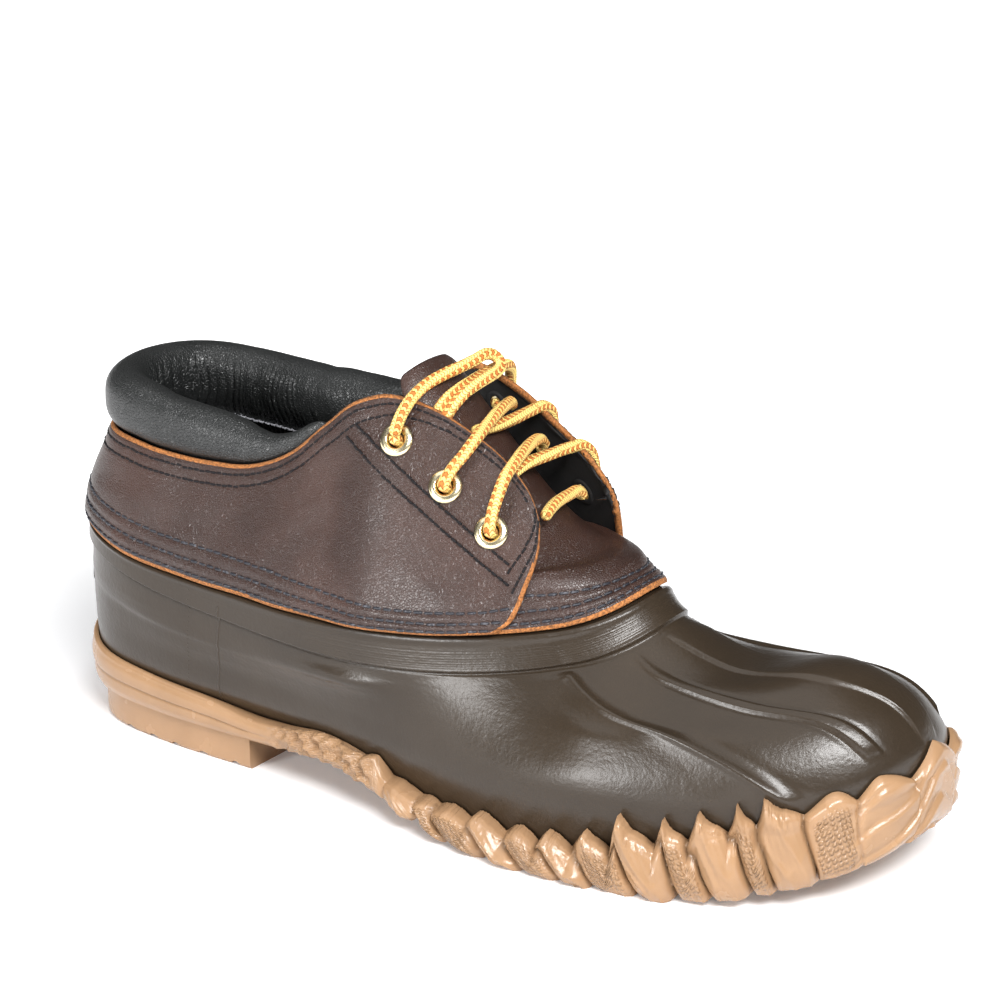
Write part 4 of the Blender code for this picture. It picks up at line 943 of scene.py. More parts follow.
def collar_point(along, reach, rise):
    """Points of the collar along the quarter's edge, out from its leather and up from its edge."""
    full = np.ones_like(along)
    edge = quarter_point(along, full)
    out = form_normal(*quarter_place(along, full))
    ahead = quarter_point(along + NUDGE_SHARE, full) - quarter_point(along - NUDGE_SHARE, full)
    up = unit(np.cross(out, ahead))
    up = np.where(up[..., 2:] < 0, -up, up)
    scale = collar_scale(along)
    pad = 1 - COLLAR_PAD * (1 - scale)
    rise = np.where(rise > 0, rise * scale, rise)
    reach = COLLAR_INSIDE + (reach - COLLAR_INSIDE) * np.where(reach > COLLAR_INSIDE, scale, pad)
    return edge + out * reach[..., None] + up * rise[..., None]


def collar_section(count):
    """Points once round the collar's section, as a smooth closed curve."""
    points = np.array(COLLAR_SECTION)
    points = np.concatenate([points[-3:], points, points[:3]])
    reach = lengths_along(points)
    return curve_through(reach, points, np.linspace(reach[3], reach[-3], count + 1)[:-1])


def make_collar(finishes):
    """The padded collar, with gathers on its inner wall and soft rounded front ends."""
    along = np.linspace(-1, 1, 321)
    along = np.sign(along) * np.abs(along) ** HEEL_CROWD * COLLAR_END
    section = collar_section(COLLAR_AROUND)
    middle = section.mean(0)
    outward = unit(section - middle)

    def place(i, j):
        here = along[i]
        spot = section[j % COLLAR_AROUND]
        past = np.clip((np.abs(here) - COLLAR_END + COLLAR_TIP) / COLLAR_TIP, 0, 1)
        close = np.sqrt(np.clip(1 - past ** 2, 0, 1))
        inner = ramp(-5.0, -9.0, spot[:, 0]) * (1 - ramp(16.0, 18.5, spot[:, 1]))
        wander = here * 410.0 + 3.0 * np.sin(here * 37.0) + 1.2 * np.sin(spot[:, 1] * 0.35 + here * 21.0)
        pull = (0.35 + 0.65 * np.sin(here * 53.0 + 1.0) ** 2) * (1 - 0.8 * ramp(0.22, 0.42, np.abs(here)))
        gather = -1.7 * inner * (1 - np.abs(np.sin(wander * 0.62))) ** 2.5
        gather = gather * pull * ramp(-13.0, -4.0, spot[:, 1])
        slack = ripple(np.stack([wander, *(spot.T * 1.3)], -1), 26.0, 5) * (0.05 + 0.2 * inner)
        seam = -0.6 * hump(0.4, 1.0, spot[:, 1]) * inner
        moved = spot + outward[j % COLLAR_AROUND] * (gather + slack + seam)[:, None]
        moved = np.where((spot[:, 1] < 1.0)[:, None] & (spot[:, 0] > -4.0)[:, None], spot, moved)
        moved = middle + (moved - middle) * close[:, None]
        return collar_point(here, moved[:, 0], moved[:, 1])

    bm = grid(len(along) - 1, COLLAR_AROUND, place)
    bmesh.ops.recalc_face_normals(bm, faces=bm.faces)
    collar = piece("collar_padded", bm, [finishes["collar"]], ["collar"])
    return collar


# Tab: a plain plate on the back of the rubber heel
TAB_HALF_ANGLE, TAB_ROWS, TAB_THICKNESS, TAB_DOME = 13.5, (2.3, 5.8), 1.2, 0.35


def make_heel_tab(finishes):
    """The blank tab, bent round the heel, with rounded corners."""
    angles, rows = np.linspace(-1, 1, 41), np.linspace(-1, 1, 33)

    def place(i, j):
        u, v = angles[i], rows[j]
        round_off = 0.14 * np.clip(np.abs(u) + np.abs(v) - 1.55, 0, 1) / 0.45
        dome = -TAB_DOME * (ramp(0.9, 1.0, np.abs(u)) + ramp(0.88, 1.0, np.abs(v)))
        row = np.mean(TAB_ROWS) + (TAB_ROWS[1] - TAB_ROWS[0]) / 2 * v * (1 - round_off)
        return form((u * (1 - round_off) * TAB_HALF_ANGLE) % 360.0, row, 0.3 + TAB_THICKNESS + dome)

    bm = grid(len(angles) - 1, len(rows) - 1, place)
    tab = piece("heel_tab_plate", bm, [finishes["tab"]], ["heel_tab"])
    return thicken(tab, TAB_THICKNESS - TAB_DOME)


# Eyelets: turned brass rings through the quarter's facings, top to bottom, by length and height seen from
# the side, then each as (level, on the inner side), the hole cut for one, and its section (radius, height)
EYELETS = ((131.5, 114.5), (149.5, 103.5), (166.0, 92.5))
EYELET_PLACES = [(level, inner_side) for inner_side in (False, True) for level in range(len(EYELETS))]
EYELET_HOLE = 3.1
EYELET_PROFILE = ((2.6, -2.4), (2.6, 0.7), (2.75, 1.05), (3.1, 1.28), (3.6, 1.32), (4.3, 1.16), (4.9, 0.82),
                  (5.2, 0.5), (5.22, 0.32), (4.6, 0.2), (3.25, 0.2), (3.2, -2.25), (4.4, -2.3), (4.4, -2.6),
                  (2.7, -2.6))


def eyelet_frame(level, inner_side):
    """Centre on the quarter's outer face and outward direction of an eyelet."""
    angle, row = locate(*EYELETS[level])
    angle = 360.0 - angle if inner_side else angle
    return form(angle, row, quarter_lift(angle) + LEATHER), form_normal(angle, row)


def make_eyelets(finishes):
    """The six turned eyelets."""
    bm = bmesh.new()
    for place in EYELET_PLACES:
        centre, direction = eyelet_frame(*place)
        ring = bmesh.new()
        verts = [ring.verts.new((radius * MM, 0.0, height * MM)) for radius, height in EYELET_PROFILE]
        edges = [ring.edges.new(pair) for pair in zip(verts, verts[1:] + verts[:1])]
        bmesh.ops.spin(ring, geom=verts + edges, cent=(0, 0, 0), axis=(0, 0, 1), angle=2 * math.pi,
                       steps=40, use_merge=True)
        bmesh.ops.recalc_face_normals(ring, faces=ring.faces)
        for face in ring.faces:
            face.material_index = int(face.calc_center_median().z < -LEATHER * MM)
        turn = Vector(direction).to_track_quat("Z", "Y").to_matrix().to_4x4()
        spot = Matrix.Translation(Vector(world(centre)))
        bmesh.ops.transform(ring, matrix=spot @ turn, verts=ring.verts)
        add_part(bm, ring)
    nodes = [f"eyelet_{side}_{level}" for side in ("outer", "inner") for level in (1, 2, 3)]
    return piece("eyelet_rings", bm, [finishes["brass"], finishes["lining"]], nodes)


# Lace: routes through the throat
LACE_BAR = ((177.0, -18.0, 97.5), (175.6, -11.0, 99.0), (174.3, -1.0, 99.2), (173.0, 8.0, 97.8),
            (172.6, 11.0, 95.4))
# Over and under strand of each crossing, and the eyelet level they come out of
LACE_CROSSINGS = (
    (2, ((168.9, -35.2, 97.2), (168.6, -33.0, 101.6), (168.6, -29.8, 106.6), (167.8, -25.0, 110.4),
         (166.4, -18.0, 112.6), (164.0, -9.0, 113.8), (161.4, 0.0, 113.8), (159.4, 7.5, 112.0),
         (158.6, 11.0, 109.0)),
     ((168.9, 25.0, 96.2), (168.8, 23.4, 101.0), (168.6, 21.4, 106.2), (168.0, 17.2, 109.4),
      (166.8, 11.0, 109.8), (165.2, 2.0, 109.6), (163.8, -7.0, 109.2), (163.4, -15.5, 107.8))),
    (1, ((152.0, -34.6, 108.2), (153.2, -31.6, 112.0), (155.0, -28.0, 115.8), (155.4, -23.6, 118.6),
         (154.2, -16.0, 120.8), (152.2, -7.0, 122.4), (149.6, 3.0, 122.8), (147.2, 9.5, 121.2),
         (146.6, 11.0, 119.4)),
     ((152.0, 26.8, 107.0), (152.4, 25.2, 111.6), (152.8, 23.2, 116.4), (152.8, 18.8, 119.0),
      (152.4, 12.0, 119.0), (151.8, 3.0, 118.4), (150.8, -6.0, 118.2), (149.0, -14.5, 118.6))),
)
LACE_CORDS = {
    "lace_loop": ((133.2, -33.4, 119.2), (133.6, -30.0, 124.6), (134.4, -25.0, 129.4), (135.8, -18.6, 132.6),
                  (137.8, -12.5, 134.4), (140.0, -7.0, 135.8), (141.6, -2.0, 137.0), (142.7, 2.4, 137.9),
                  (143.6, 4.6, 137.3), (145.1, 5.5, 135.8), (146.4, 4.6, 134.2), (146.9, 2.4, 133.4),
                  (146.8, -2.4, 132.5), (146.1, -7.0, 131.5), (145.4, -11.5, 130.2), (144.5, -15.6, 128.0),
                  (143.4, -19.2, 124.6), (142.4, -21.8, 120.0)),
    "lace_tail": ((133.3, 29.2, 116.0), (134.4, 28.4, 121.4), (136.0, 26.0, 126.2), (138.2, 21.4, 129.2),
                  (139.7, 14.0, 130.8), (140.8, 5.0, 131.0), (141.3, -4.0, 130.4), (141.2, -11.0, 129.4),
                  (140.6, -15.4, 127.8), (139.8, -18.8, 125.0), (139.0, -21.0, 121.0)),
}
LACE_SPACING, LACE_AROUND = 0.32, 24
BRAID_PITCH, BRAID_COLUMNS, BRAID_RELIEF = 1.1, 6, 0.05


def route(points):
    """Evenly spaced points along a smooth curve through a route, and their length."""
    reach = lengths_along(points)
    at = np.linspace(0.0, reach[-1], int(reach[-1] / LACE_SPACING) + 1)
    line = curve_through(reach, points, at)
    return line, float(lengths_along(line)[-1])


def out_of_eyelet(level, inner_side, points):
    """A lace route with its start led out of an eyelet."""
    centre, direction = eyelet_frame(level, inner_side)
    return (tuple(centre - direction * 4.0), tuple(centre), tuple(centre + direction * 2.4)) + points[1:]


def lace_tube(bm, points, radius):
    """Add a braided cord along a route to a bmesh."""
    line, length = route(points)

    def braid(around, reach):
        column = around * BRAID_COLUMNS + reach * 0.04
        return BRAID_RELIEF * (np.cos(2 * math.pi * column) + np.cos(2 * math.pi * reach / BRAID_PITCH))

    sweep(bm, line, radius - 0.06, LACE_AROUND, braid, uv_scale=(1.0, length / BRAID_PITCH))
    return line, length


def make_lace(sizes, finishes):
    """The lace through its eyelets: a bar, two crossings and the cords of its loop and other end."""
    radius = sizes.lace / MM / 2
    bm = bmesh.new()
    lace_tube(bm, LACE_BAR, radius)
    for level, *strands in LACE_CROSSINGS:
        for inner_side, strand in enumerate(strands):
            lace_tube(bm, out_of_eyelet(level, inner_side, strand), radius)
    for inner_side, (first, *_) in enumerate(LACE_CORDS.values()):
        lace_tube(bm, out_of_eyelet(0, inner_side, (first, first)), radius)
    piece("lace_crossings", bm, [finishes["lace"]],
          ["lace_bar", "lace_crossing_low", "lace_crossing_high"])
    for name, points in LACE_CORDS.items():
        bm = bmesh.new()
        line, length = lace_tube(bm, points, radius)
        cord = piece(name + "_braid", bm, [finishes["lace"]], [name])
        path = [tuple(float(value) for value in point) for point in world(line)]


# Stitch rows: thread half width, half length and pitch of the thick rows and of the thin ones, the straight
# rows behind the eyelets seen from the side, and the collar's row, in from the leather and below its edge
THICK_THREAD, THIN_THREAD = (0.45, 1.15, 3.35), (0.38, 0.82, 2.3)
EYESTAY = (((117.6, 117.7), (173.4, 84.2)), ((114.7, 114.2), (174.9, 78.8)))
COLLAR_ROW_IN, COLLAR_ROW_DOWN = (-10.5, -12.5), -1.6


def stitch(bm, line, outward, thread, rng):
    """Add a row of stitches along a line of points: one thread that dips into the leather between them."""
    half_width, half_length, pitch = thread
    reach = lengths_along(line)
    half = half_length / pitch
    bow = np.array([half * 0.4, half * 0.8, half - 0.02, half + 0.03])
    phase = np.concatenate([[-0.5], -bow[::-1], bow])
    count = int(reach[-1] / pitch)
    at = (np.arange(count)[:, None] + 0.5 + phase[None]).ravel() * reach[-1] / count
    height = np.tile(0.1 - 1.2 * ramp(half - 0.06, half + 0.07, np.abs(phase)), count)
    spot, out = (np.stack([np.interp(at, reach, column) for column in columns.T], -1)
                 for columns in (line, outward))
    side = np.repeat(rng.normal(0, 0.07, (count, 3)), len(phase), axis=0)
    sweep(bm, spot + unit(out) * height[:, None] + side, half_width, 6)


def sewn(along, climb):
    """Points and outward directions of places on the quarter's outer face."""
    return quarter_face(along, climb), form_normal(*quarter_place(along, climb))


def quarter_line(distance, side, from_top, ends=(0.0, 1.0)):
    """Points and outward directions along the quarter, a distance from its bottom or top edge."""
    along, climb = np.linspace(*ends, 150), np.linspace(0, 1, 13)
    a, t = np.meshgrid(along, climb, indexing="ij")
    reach = np.array([lengths_along(column) for column in quarter_point(side * a, t)])
    want = reach[:, -1] - distance if from_top else np.full(len(along), distance)
    return sewn(side * along, np.array([np.interp(w, r, climb) for w, r in zip(want, reach)]))


def eyestay_line(line, side):
    """Points and outward directions along a straight row on the quarter, seen from the side."""
    angle, row = locate_line(line, 8).T
    angle = angle if side > 0 else 360.0 - angle
    return form(angle, row, quarter_lift(angle) + LEATHER + 0.25), form_normal(angle, row)


def front_line(distance, side, lowest):
    """Points and outward directions down the quarter's front edge to a height, a distance behind it."""
    along, climb = np.linspace(0.85, 1.0, 24), np.linspace(0.36, 0.95, 50)
    a, t = np.meshgrid(along, climb, indexing="ij")
    points = quarter_point(side * a, t)
    back = np.linalg.norm(points - points[-1:], axis=2)
    at = np.array([np.interp(-distance, -column, along) for column in back.T])
    line, out = sewn(side * at, climb)
    keep = line[:, 2] >= lowest
    return line[keep], out[keep]


def make_stitches(finishes):
    """All stitch rows of the leather."""
    rng = np.random.default_rng(21)
    thick, thin, pale = bmesh.new(), bmesh.new(), bmesh.new()
    for side in (1.0, -1.0):
        for row in STITCH_ROWS:
            stitch(thick, *quarter_line(row, side, False, (0.0, 0.985)), THICK_THREAD, rng)
        for row, (_, tip) in zip(TOP_ROWS, EYESTAY):
            stitch(thin, *quarter_line(row, side, True, (0.0, 0.95)), THIN_THREAD, rng)
            stitch(thin, *front_line(row, side, tip[1]), THIN_THREAD, rng)
        for line in EYESTAY:
            stitch(thin, *eyestay_line(line, side), THIN_THREAD, rng)
    across = np.linspace(-0.96, 0.96, 160)
    for row in VAMP_ROWS:
        share = np.full_like(across, VAMP_SHARE * row / VAMP_HEIGHT)
        outward = vamp_point(share, across, np.ones_like(across)) - vamp_point(share, across)
        stitch(thick, vamp_face(share, across), outward, THICK_THREAD, rng)
    along = np.linspace(-0.42, 0.42, 260)
    wall, beyond = (collar_point(along, np.full_like(along, reach), np.full_like(along, COLLAR_ROW_DOWN))
                    for reach in COLLAR_ROW_IN)
    stitch(pale, wall, beyond - wall, THIN_THREAD, rng)
    piece("stitches_collar", pale, [finishes["pale_thread"]])
    piece("stitches_bottom", thick, [finishes["thread"]])
    piece("stitches_top", thin, [finishes["dark_thread"]])


class Flow:
    """A shader socket that sums, products and other nodes can be built on."""

    def __init__(self, tree, socket=None):
        self.tree = tree
        self.socket = socket

    def node(self, kind, inputs=None, outlet=0, **settings):
        """Any node: its settings are set first, then its inputs are linked or set."""
        made = self.tree.nodes.new(kind)
        for key, value in settings.items():
            setattr(made, key, value)
        for key, value in (inputs or {}).items():
            if isinstance(value, Flow):
                self.tree.links.new(value.socket, made.inputs[key])
            else:
                made.inputs[key].default_value = value
        return Flow(self.tree, made.outputs[outlet])

    def math(self, operation, *values):
        """One sum on values."""
        return self.node("ShaderNodeMath", dict(enumerate(values)), operation=operation)

    def __add__(self, other):
        return self.math("ADD", self, other)

    def __radd__(self, other):
        return self.math("ADD", other, self)

    def __sub__(self, other):
        return self.math("SUBTRACT", self, other)

    def __rsub__(self, other):
        return self.math("SUBTRACT", other, self)

    def __mul__(self, other):
        return self.math("MULTIPLY", self, other)

    def __rmul__(self, other):
        return self.math("MULTIPLY", other, self)

    def between(self, low, high, soft=True):
        """0 at low, 1 at high."""
        kind = "SMOOTHSTEP" if soft else "LINEAR"
        return self.node("ShaderNodeMapRange", {"Value": self, "From Min": low, "From Max": high},
                         interpolation_type=kind, clamp=True)

    def mix(self, low, high):
        """A colour between two by this share."""
        low, high = (end if isinstance(end, Flow) else (*end, 1.0) for end in (low, high))
        return self.node("ShaderNodeMix", {0: self, 6: low, 7: high}, outlet=2, data_type="RGBA")

    def noise(self, scale, detail=3.0):
        """Soft noise at this place."""
        inputs = {"Vector": self, "Scale": scale, "Detail": detail, "Roughness": 0.55}
        return self.node("ShaderNodeTexNoise", inputs)

    def cells(self, scale, feature="F1", stray=1.0):
        """Distance from the cells' points, which stray from even rows, or from their borders."""
        return self.node("ShaderNodeTexVoronoi", {"Vector": self, "Scale": scale, "Randomness": stray},
                         feature=feature)

    def bump(self, distance):
        """Surface directions of this height."""
        return self.node("ShaderNodeBump", {"Height": self, "Distance": distance, "Strength": 1.0})


def finish_of(name, constants, looks, *settings):
    """A material from constant shader values and from looks, which gives its varying inputs at a place."""
    material = bpy.data.materials.new(name)
    material.use_nodes = True
    tree = material.node_tree
    shader = tree.nodes["Principled BSDF"]
    for key, value in constants.items():
        shader.inputs[key].default_value = value
    place = Flow(tree).node("ShaderNodeTexCoord", outlet="Object")
    for key, flow in looks(place, *settings).items():
        tree.links.new(flow.socket, shader.inputs[key])
    return material


def times(colour, share):
    """A colour made darker or lighter."""
    return tuple(min(value * share, 1.0) for value in colour)


def rubber_looks(place, colour):
    """Olive rubber: mottled, with a satin skin, a little orange peel and faint marks."""
    cloud, fine, peel = place.noise(26.0), place.noise(900.0, 2.0), place.noise(240.0, 3.0)
    marks = place.node("ShaderNodeMapping", {"Vector": place, "Scale": (1.0, 1.0, 5.0)}).noise(160.0, 4.0)
    tone = cloud.between(0.3, 0.7).mix(times(colour, 0.9), times(colour, 1.12))
    dust = marks.between(0.62, 0.78) * 0.14
    return {"Base Color": dust.mix(tone, times(colour, 1.7)),
            "Roughness": cloud * 0.1 + fine * 0.06 + 0.23,
            "Normal": (fine * 0.22 + peel * 0.34 + marks * 0.12).bump(0.0003)}


def gum_looks(place, colour):
    """Gum rubber: pale skin with painted shade in its creases, under its folds, in the heel's groove and
    between its pebbles, and pebbled beds.
    """
    painted_shade, bed, around, up = (place.node("ShaderNodeAttribute", outlet="Fac", attribute_name=name)
                              for name in ("crease", "pebble", "round", "up"))
    cloud, fine = place.noise(70.0), place.noise(1500.0, 2.0)
    rows = place.node("ShaderNodeCombineXYZ", {0: around * 0.62 + up * 0.24, 1: up * 0.62 - around * 0.2})
    pebbles = 1.0 - rows.cells(1.0, stray=0.3).between(0.12, 0.6)
    tone = cloud.between(0.3, 0.72).mix(times(colour, 0.95), times(colour, 1.06))
    # Painted shade: the crease mark and the gaps between the pebbles darken the gum's colour.
    dark = (painted_shade.between(0.15, 1.0) * 0.6 + bed * (1.0 - pebbles) * 0.18).between(0.0, 1.0, False)
    return {"Base Color": dark.mix(tone, times(colour, 0.45)),
            "Roughness": cloud * 0.12 + 0.2,
            "Normal": (fine * 0.06 + pebbles * bed * 0.8).bump(0.0008)}


def leather_looks(place, colour, scale, shine):
    """Leather: fine grain, soft pull-up clouds and a waxy shine."""
    grain = place.cells(scale, "DISTANCE_TO_EDGE")
    cloud, fine = place.noise(38.0, 4.0), place.noise(420.0, 3.0)
    tone = cloud.between(0.32, 0.7).mix(times(colour, 0.82), times(colour, 1.28))
    worn = fine.between(0.66, 0.84) * 0.25
    relief = grain.between(0.0, 0.22) * 0.6 + fine * 0.5
    return {"Base Color": worn.mix(tone, times(colour, 1.8)),
            "Roughness": cloud * 0.2 + shine,
            "Normal": relief.bump(0.0002)}


def edge_looks(place, colour):
    """The raw cut edge of leather: tan and fibrous."""
    fibre = place.noise(1400.0, 4.0)
    return {"Base Color": fibre.between(0.3, 0.72).mix(times(colour, 0.35), times(colour, 1.25)),
            "Normal": fibre.bump(0.0002)}


def cloth_looks(place, colour):
    """A grey woven cloth."""
    weave = place.cells(900.0)
    return {"Base Color": weave.between(0.1, 0.7).mix(times(colour, 1.5), times(colour, 0.6)),
            "Normal": weave.bump(0.0002)}


def plain_looks(place, colour, relief=0.00006):
    """A plain surface with a little fine roughness."""
    fine = place.noise(1100.0, 2.0)
    return {"Base Color": fine.between(0.3, 0.7).mix(times(colour, 0.9), times(colour, 1.1)),
            "Normal": fine.bump(relief)}


def thread_looks(place, colour):
    """Waxed thread with pale flecks that are painted glints."""
    # Painted glints: pale grey flecks scattered over the dark thread.
    fleck = place.noise(700.0, 2.0).between(0.56, 0.68)
    return {"Base Color": (fleck * 0.4).mix(colour, (0.17, 0.17, 0.19))}


def lace_looks(place, pale, dark):
    """A round braided lace: columns of pale and of rust-coloured yarn, each of small slanting stitches, with
    painted shade between the stitches.
    """
    uv = place.node("ShaderNodeUVMap", uv_map="UVMap")
    around, along = (uv.node("ShaderNodeSeparateXYZ", {0: uv}, outlet=k) for k in (0, 1))
    column = around * float(BRAID_COLUMNS) + along * 0.05
    aside = place.math("ABSOLUTE", place.math("FRACT", column) - 0.5)
    pair = place.math("FRACT", column * 0.5)
    turn = along + aside * 1.1 + pair.between(0.48, 0.52) * 0.5
    yarn = place.math("FRACT", turn)
    ridge = yarn.between(0.0, 0.25) * (1.0 - yarn.between(0.75, 1.0))
    ridge = ridge * (1.0 - aside.between(0.36, 0.5) * 0.7)
    fibre = place.noise(2600.0, 2.0)
    rust = pair.between(0.46, 0.54) * (1.0 - pair.between(0.94, 1.0))
    turns = place.math("FRACT", turn * 0.5).between(0.4, 0.6)
    stray = place.noise(420.0, 2.0).between(0.56, 0.66) * turns
    fleck = (rust * (0.25 + turns * 0.75) + stray * 0.6).between(0.0, 1.0, False)
    tone = fleck.mix(pale, dark)
    # Painted shade: the colour darkens between the stitches' ridges and at the sides of each column.
    return {"Base Color": (ridge * 0.75 + fibre * 0.35).between(0.05, 0.75).mix(times(dark, 0.55), tone),
            "Normal": (ridge + fibre * 0.2).bump(0.0003)}


def make_finishes(colours):
    """Every material of the boot."""
    names = ("rubber", "gum", "leather", "edge", "collar", "lace", "lace_fleck")
    rubber, gum, leather, edge, collar, lace, fleck = (tuple(getattr(colours, name)) for name in names)

    def waxy(coat, shine):
        return {"Coat Weight": coat, "Coat Roughness": 0.35, "Specular IOR Level": shine}

    def dull(roughness, shine=0.5):
        return {"Roughness": roughness, "Specular IOR Level": shine}

    brass = {"Metallic": 1.0, "Roughness": 0.24}
    return {
        "rubber": finish_of("olive_rubber_skin", waxy(0.05, 0.36), rubber_looks, rubber),
        "gum": finish_of("gum_rubber_skin", waxy(0.1, 0.36), gum_looks, gum),
        "leather": finish_of("brown_leather_grain", waxy(0.08, 0.55), leather_looks, leather, 1250.0, 0.28),
        "lining": finish_of("black_lining", dull(0.9), plain_looks, (0.016, 0.015, 0.015)),
        "edge": finish_of("raw_leather_edge", dull(0.85), edge_looks, edge),
        "collar": finish_of("black_leather_grain", {}, leather_looks, collar, 1050.0, 0.26),
        "insole": finish_of("grey_cloth", dull(0.95), cloth_looks, (0.11, 0.11, 0.12)),
        "brass": finish_of("pale_brass", brass, plain_looks, (0.88, 0.77, 0.5), 0.000008),
        "tab": finish_of("black_tab_rubber", dull(0.8, 0.15), plain_looks, (0.008, 0.008, 0.008)),
        "pale_thread": finish_of("pale_thread", dull(0.6), plain_looks, (0.22, 0.22, 0.24)),
        "thread": finish_of("waxed_thread", dull(0.5), thread_looks, (0.013, 0.014, 0.02)),
        "dark_thread": finish_of("dark_thread", dull(0.7, 0.25), plain_looks, (0.007, 0.006, 0.007)),
        "lace": finish_of("braided_lace", dull(0.75), lace_looks, lace, fleck),
    }


# Stage: the point that the camera turns about, its turn, rise and distance, how far its aim is shifted, its
# lens, the lights as (direction, distance, (width, height), power), the light from all round, and the floor
CAMERA_TARGET = (150.0, 0.0, 50.0)
CAMERA_TURN, CAMERA_RISE, CAMERA_DISTANCE = 33.6, 20.6, 1000.0
CAMERA_FOCUS, CAMERA_ASIDE, CAMERA_UP = 3216.2, 1.9, 131.9
LENS = 115.8
LIGHTS = (
    ((-0.27, -0.93, 0.2), 3.0, (0.55, 1.0), 62.0),
    ((0.6, -0.45, 0.66), 1.4, (0.7, 0.34), 30.0),
    ((-0.2, -0.2, 0.95), 2.2, (2.2, 2.2), 22.0),
)
ROUND_LIGHT, FLOOR_HALF = 0.1, 6.0


def floor_looks(place):
    """The floor glows towards its edges, as a lit white sweep does."""
    away = place.node("ShaderNodeVectorMath", {0: place}, outlet="Value", operation="LENGTH")
    return {"Emission Color": away.between(0.1, 0.5).mix((0.1, 0.102, 0.108), (0.95, 0.95, 0.95))}


def make_stage(colours):
    """The floor, the camera and the soft lights."""
    bm = bmesh.new()
    bmesh.ops.create_grid(bm, x_segments=2, y_segments=2, size=FLOOR_HALF)
    mesh = bpy.data.meshes.new("floor")
    bm.to_mesh(mesh)
    bm.free()
    floor = bpy.data.objects.new("floor", mesh)
    constants = {"Base Color": (*colours.floor, 1.0), "Roughness": 0.8, "Emission Strength": 1.0}
    mesh.materials.append(finish_of("white_floor", constants, floor_looks))
    scene = bpy.context.scene
    scene.collection.objects.link(floor)

    turn, rise = math.radians(CAMERA_TURN), math.radians(CAMERA_RISE)
    back = Vector((math.sin(turn) * math.cos(rise), -math.cos(turn) * math.cos(rise), math.sin(rise)))
    right = Vector((math.cos(turn), math.sin(turn), 0.0))
    up = back.cross(right)
    lens = bpy.data.cameras.new("camera")
    lens.lens, lens.sensor_width, lens.clip_start = LENS, 36.0, 0.01
    camera = bpy.data.objects.new("camera", lens)
    target = Vector(world(np.array(CAMERA_TARGET)))
    look = -back * CAMERA_FOCUS - right * CAMERA_ASIDE + up * CAMERA_UP
    camera.matrix_world = Matrix.Translation(target + back * CAMERA_DISTANCE * MM) @ aimed(look, up)
    scene.collection.objects.link(camera)
    scene.camera = camera
    for index, (way, distance, size, power) in enumerate(LIGHTS):
        lamp = bpy.data.lights.new(f"softbox_{index + 1}", "AREA")
        lamp.shape, lamp.energy = "RECTANGLE", power
        lamp.size, lamp.size_y = size
        light = bpy.data.objects.new(lamp.name, lamp)
        way = Vector(way).normalized()
        light.matrix_world = Matrix.Translation(way * distance) @ aimed(-way, Vector((0, 0, 1)))
        scene.collection.objects.link(light)
    world_light = bpy.data.worlds.new("studio")
    world_light.use_nodes = True
    background = world_light.node_tree.nodes["Background"].inputs
    background["Color"].default_value = (1.0, 1.0, 1.0, 1.0)
    background["Strength"].default_value = ROUND_LIGHT
    scene.world = world_light
    scene.view_settings.view_transform = "Standard"


def aimed(look, up):
    """A turn whose -Z looks along a direction and whose +Y is up."""
    z = -look.normalized()
    x = up.cross(z).normalized()
    return Matrix((x, z.cross(x), z)).transposed().to_4x4()


LENGTH = {"subtype": "DISTANCE", "unit": "LENGTH"}
COLOUR = {"size": 3, "min": 0.0, "max": 1.0, "subtype": "COLOR"}


class BootSizes(bpy.types.PropertyGroup):
    """Sizes of the boot that a user may change."""

    rubber_wall: bpy.props.FloatProperty(
        name="Rubber wall", description="Thickness of the rubber bottom",
        default=RUBBER_WALL * MM, min=0.001, max=0.004, **LENGTH)
    leather: bpy.props.FloatProperty(
        name="Leather", description="Thickness of the leather",
        default=LEATHER * MM, min=0.001, max=0.003, **LENGTH)
    lace: bpy.props.FloatProperty(
        name="Lace", description="Diameter of the lace",
        default=0.0038, min=0.002, max=0.005, **LENGTH)


class BootColours(bpy.types.PropertyGroup):
    """Colours of the boot's materials and of the floor."""

    rubber: bpy.props.FloatVectorProperty(
        name="Rubber", description="Colour of the rubber bottom", default=(0.027, 0.0185, 0.0113), **COLOUR)
    gum: bpy.props.FloatVectorProperty(
        name="Gum", description="Colour of the sole and heel", default=(0.305, 0.18, 0.095), **COLOUR)
    leather: bpy.props.FloatVectorProperty(
        name="Leather", description="Colour of the leather", default=(0.034, 0.0145, 0.0098), **COLOUR)
    edge: bpy.props.FloatVectorProperty(
        name="Raw edge", description="Colour of the cut edges", default=(0.38, 0.142, 0.037), **COLOUR)
    collar: bpy.props.FloatVectorProperty(
        name="Collar", description="Colour of the padded collar", default=(0.0125, 0.0134, 0.0132), **COLOUR)
    lace: bpy.props.FloatVectorProperty(
        name="Lace", description="Colour of the lace", default=(1.0, 0.72, 0.22), **COLOUR)
    lace_fleck: bpy.props.FloatVectorProperty(
        name="Lace fleck", description="Second colour of the lace", default=(0.5, 0.15, 0.02), **COLOUR)
    floor: bpy.props.FloatVectorProperty(
        name="Floor", description="Colour of the floor", default=(0.95, 0.95, 0.96), **COLOUR)


FINISHES = {}


def finishes():
    """The boot's materials, made once."""
    if not FINISHES:
        FINISHES.update(make_finishes(bpy.context.scene.boot_colours))
    return FINISHES


class BOOT_OT_sole(bpy.types.Operator):
    """Build the lobed sole and the heel block"""

    bl_idname = "boot.sole"
    bl_label = "Sole and heel"

    def execute(self, context):
        make_outsole(finishes())
        make_heel(finishes())
        return {"FINISHED"}


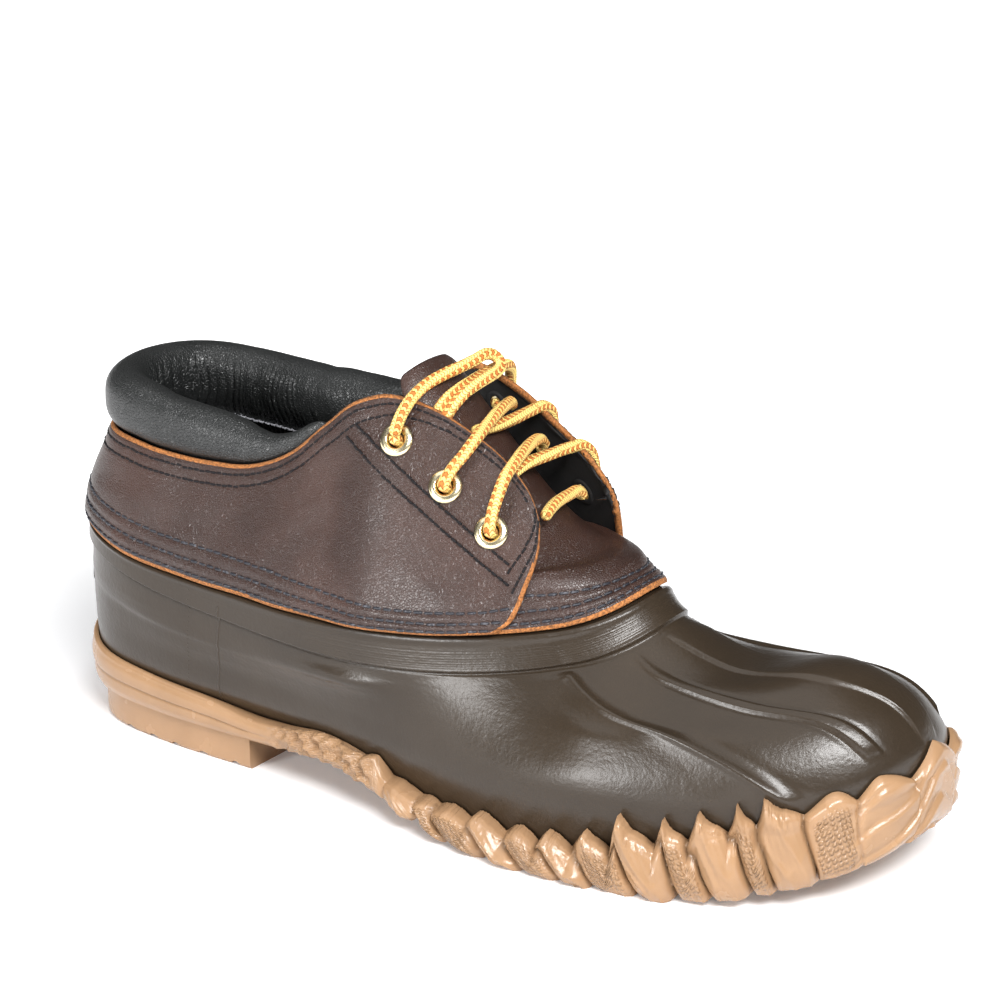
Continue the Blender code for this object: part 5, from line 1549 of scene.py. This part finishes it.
class BOOT_OT_rubber(bpy.types.Operator):
    """Build the rubber bottom with its ribs, band and mould marks, and the tab on its heel"""

    bl_idname = "boot.rubber"
    bl_label = "Rubber bottom"

    def execute(self, context):
        make_rubber_bottom(context.scene.boot_sizes, finishes())
        make_mould_marks(finishes())
        make_heel_tab(finishes())
        return {"FINISHED"}


class BOOT_OT_insole(bpy.types.Operator):
    """Build the insole"""

    bl_idname = "boot.insole"
    bl_label = "Insole"

    def execute(self, context):
        make_insole(finishes())
        return {"FINISHED"}


class BOOT_OT_leather(bpy.types.Operator):
    """Build the vamp, tongue and quarter"""

    bl_idname = "boot.leather"
    bl_label = "Leather"

    def execute(self, context):
        make_vamp_tongue(context.scene.boot_sizes, finishes())
        make_quarter(context.scene.boot_sizes, finishes())
        return {"FINISHED"}


class BOOT_OT_collar(bpy.types.Operator):
    """Build the padded collar"""

    bl_idname = "boot.collar"
    bl_label = "Collar"

    def execute(self, context):
        make_collar(finishes())
        return {"FINISHED"}


class BOOT_OT_eyelets(bpy.types.Operator):
    """Build the eyelets"""

    bl_idname = "boot.eyelets"
    bl_label = "Eyelets"

    def execute(self, context):
        make_eyelets(finishes())
        return {"FINISHED"}


class BOOT_OT_lace(bpy.types.Operator):
    """Build the lace, run through the eyelets"""

    bl_idname = "boot.lace"
    bl_label = "Lace"

    def execute(self, context):
        make_lace(context.scene.boot_sizes, finishes())
        return {"FINISHED"}


class BOOT_OT_stitches(bpy.types.Operator):
    """Sew the leather's stitch rows"""

    bl_idname = "boot.stitches"
    bl_label = "Stitches"

    def execute(self, context):
        make_stitches(finishes())
        return {"FINISHED"}


class BOOT_OT_stage(bpy.types.Operator):
    """Set up the floor, the camera and the lights"""

    bl_idname = "boot.stage"
    bl_label = "Stage"

    def execute(self, context):
        make_stage(context.scene.boot_colours)
        return {"FINISHED"}


STEPS = (BOOT_OT_sole, BOOT_OT_rubber, BOOT_OT_insole, BOOT_OT_leather, BOOT_OT_collar, BOOT_OT_eyelets,
         BOOT_OT_lace, BOOT_OT_stitches, BOOT_OT_stage)


class BOOT_PT_panel(bpy.types.Panel):
    """Sizes, colours and building steps of the boot"""

    bl_idname = "BOOT_PT_panel"
    bl_label = "Rubber-bottom boot"
    bl_space_type = "VIEW_3D"
    bl_region_type = "UI"
    bl_category = "Boot"

    def draw(self, context):
        for group in (context.scene.boot_sizes, context.scene.boot_colours):
            for name in group.bl_rna.properties.keys():
                if name not in {"rna_type", "name"}:
                    self.layout.prop(group, name)
        for step in STEPS:
            self.layout.operator(step.bl_idname)


CLASSES = (BootSizes, BootColours, *STEPS, BOOT_PT_panel)


def register():
    """Make the boot's properties, steps and panel known."""
    for one in CLASSES:
        bpy.utils.register_class(one)
    bpy.types.Scene.boot_sizes = bpy.props.PointerProperty(type=BootSizes)
    bpy.types.Scene.boot_colours = bpy.props.PointerProperty(type=BootColours)


def unregister():
    """Forget the boot's properties, steps and panel."""
    del bpy.types.Scene.boot_colours
    del bpy.types.Scene.boot_sizes
    for one in reversed(CLASSES):
        bpy.utils.unregister_class(one)


def main():
    """Build every piece."""
    register()
    for step in STEPS:
        group, name = step.bl_idname.split(".")
        getattr(getattr(bpy.ops, group), name)()


if __name__ == "__main__":
    main()
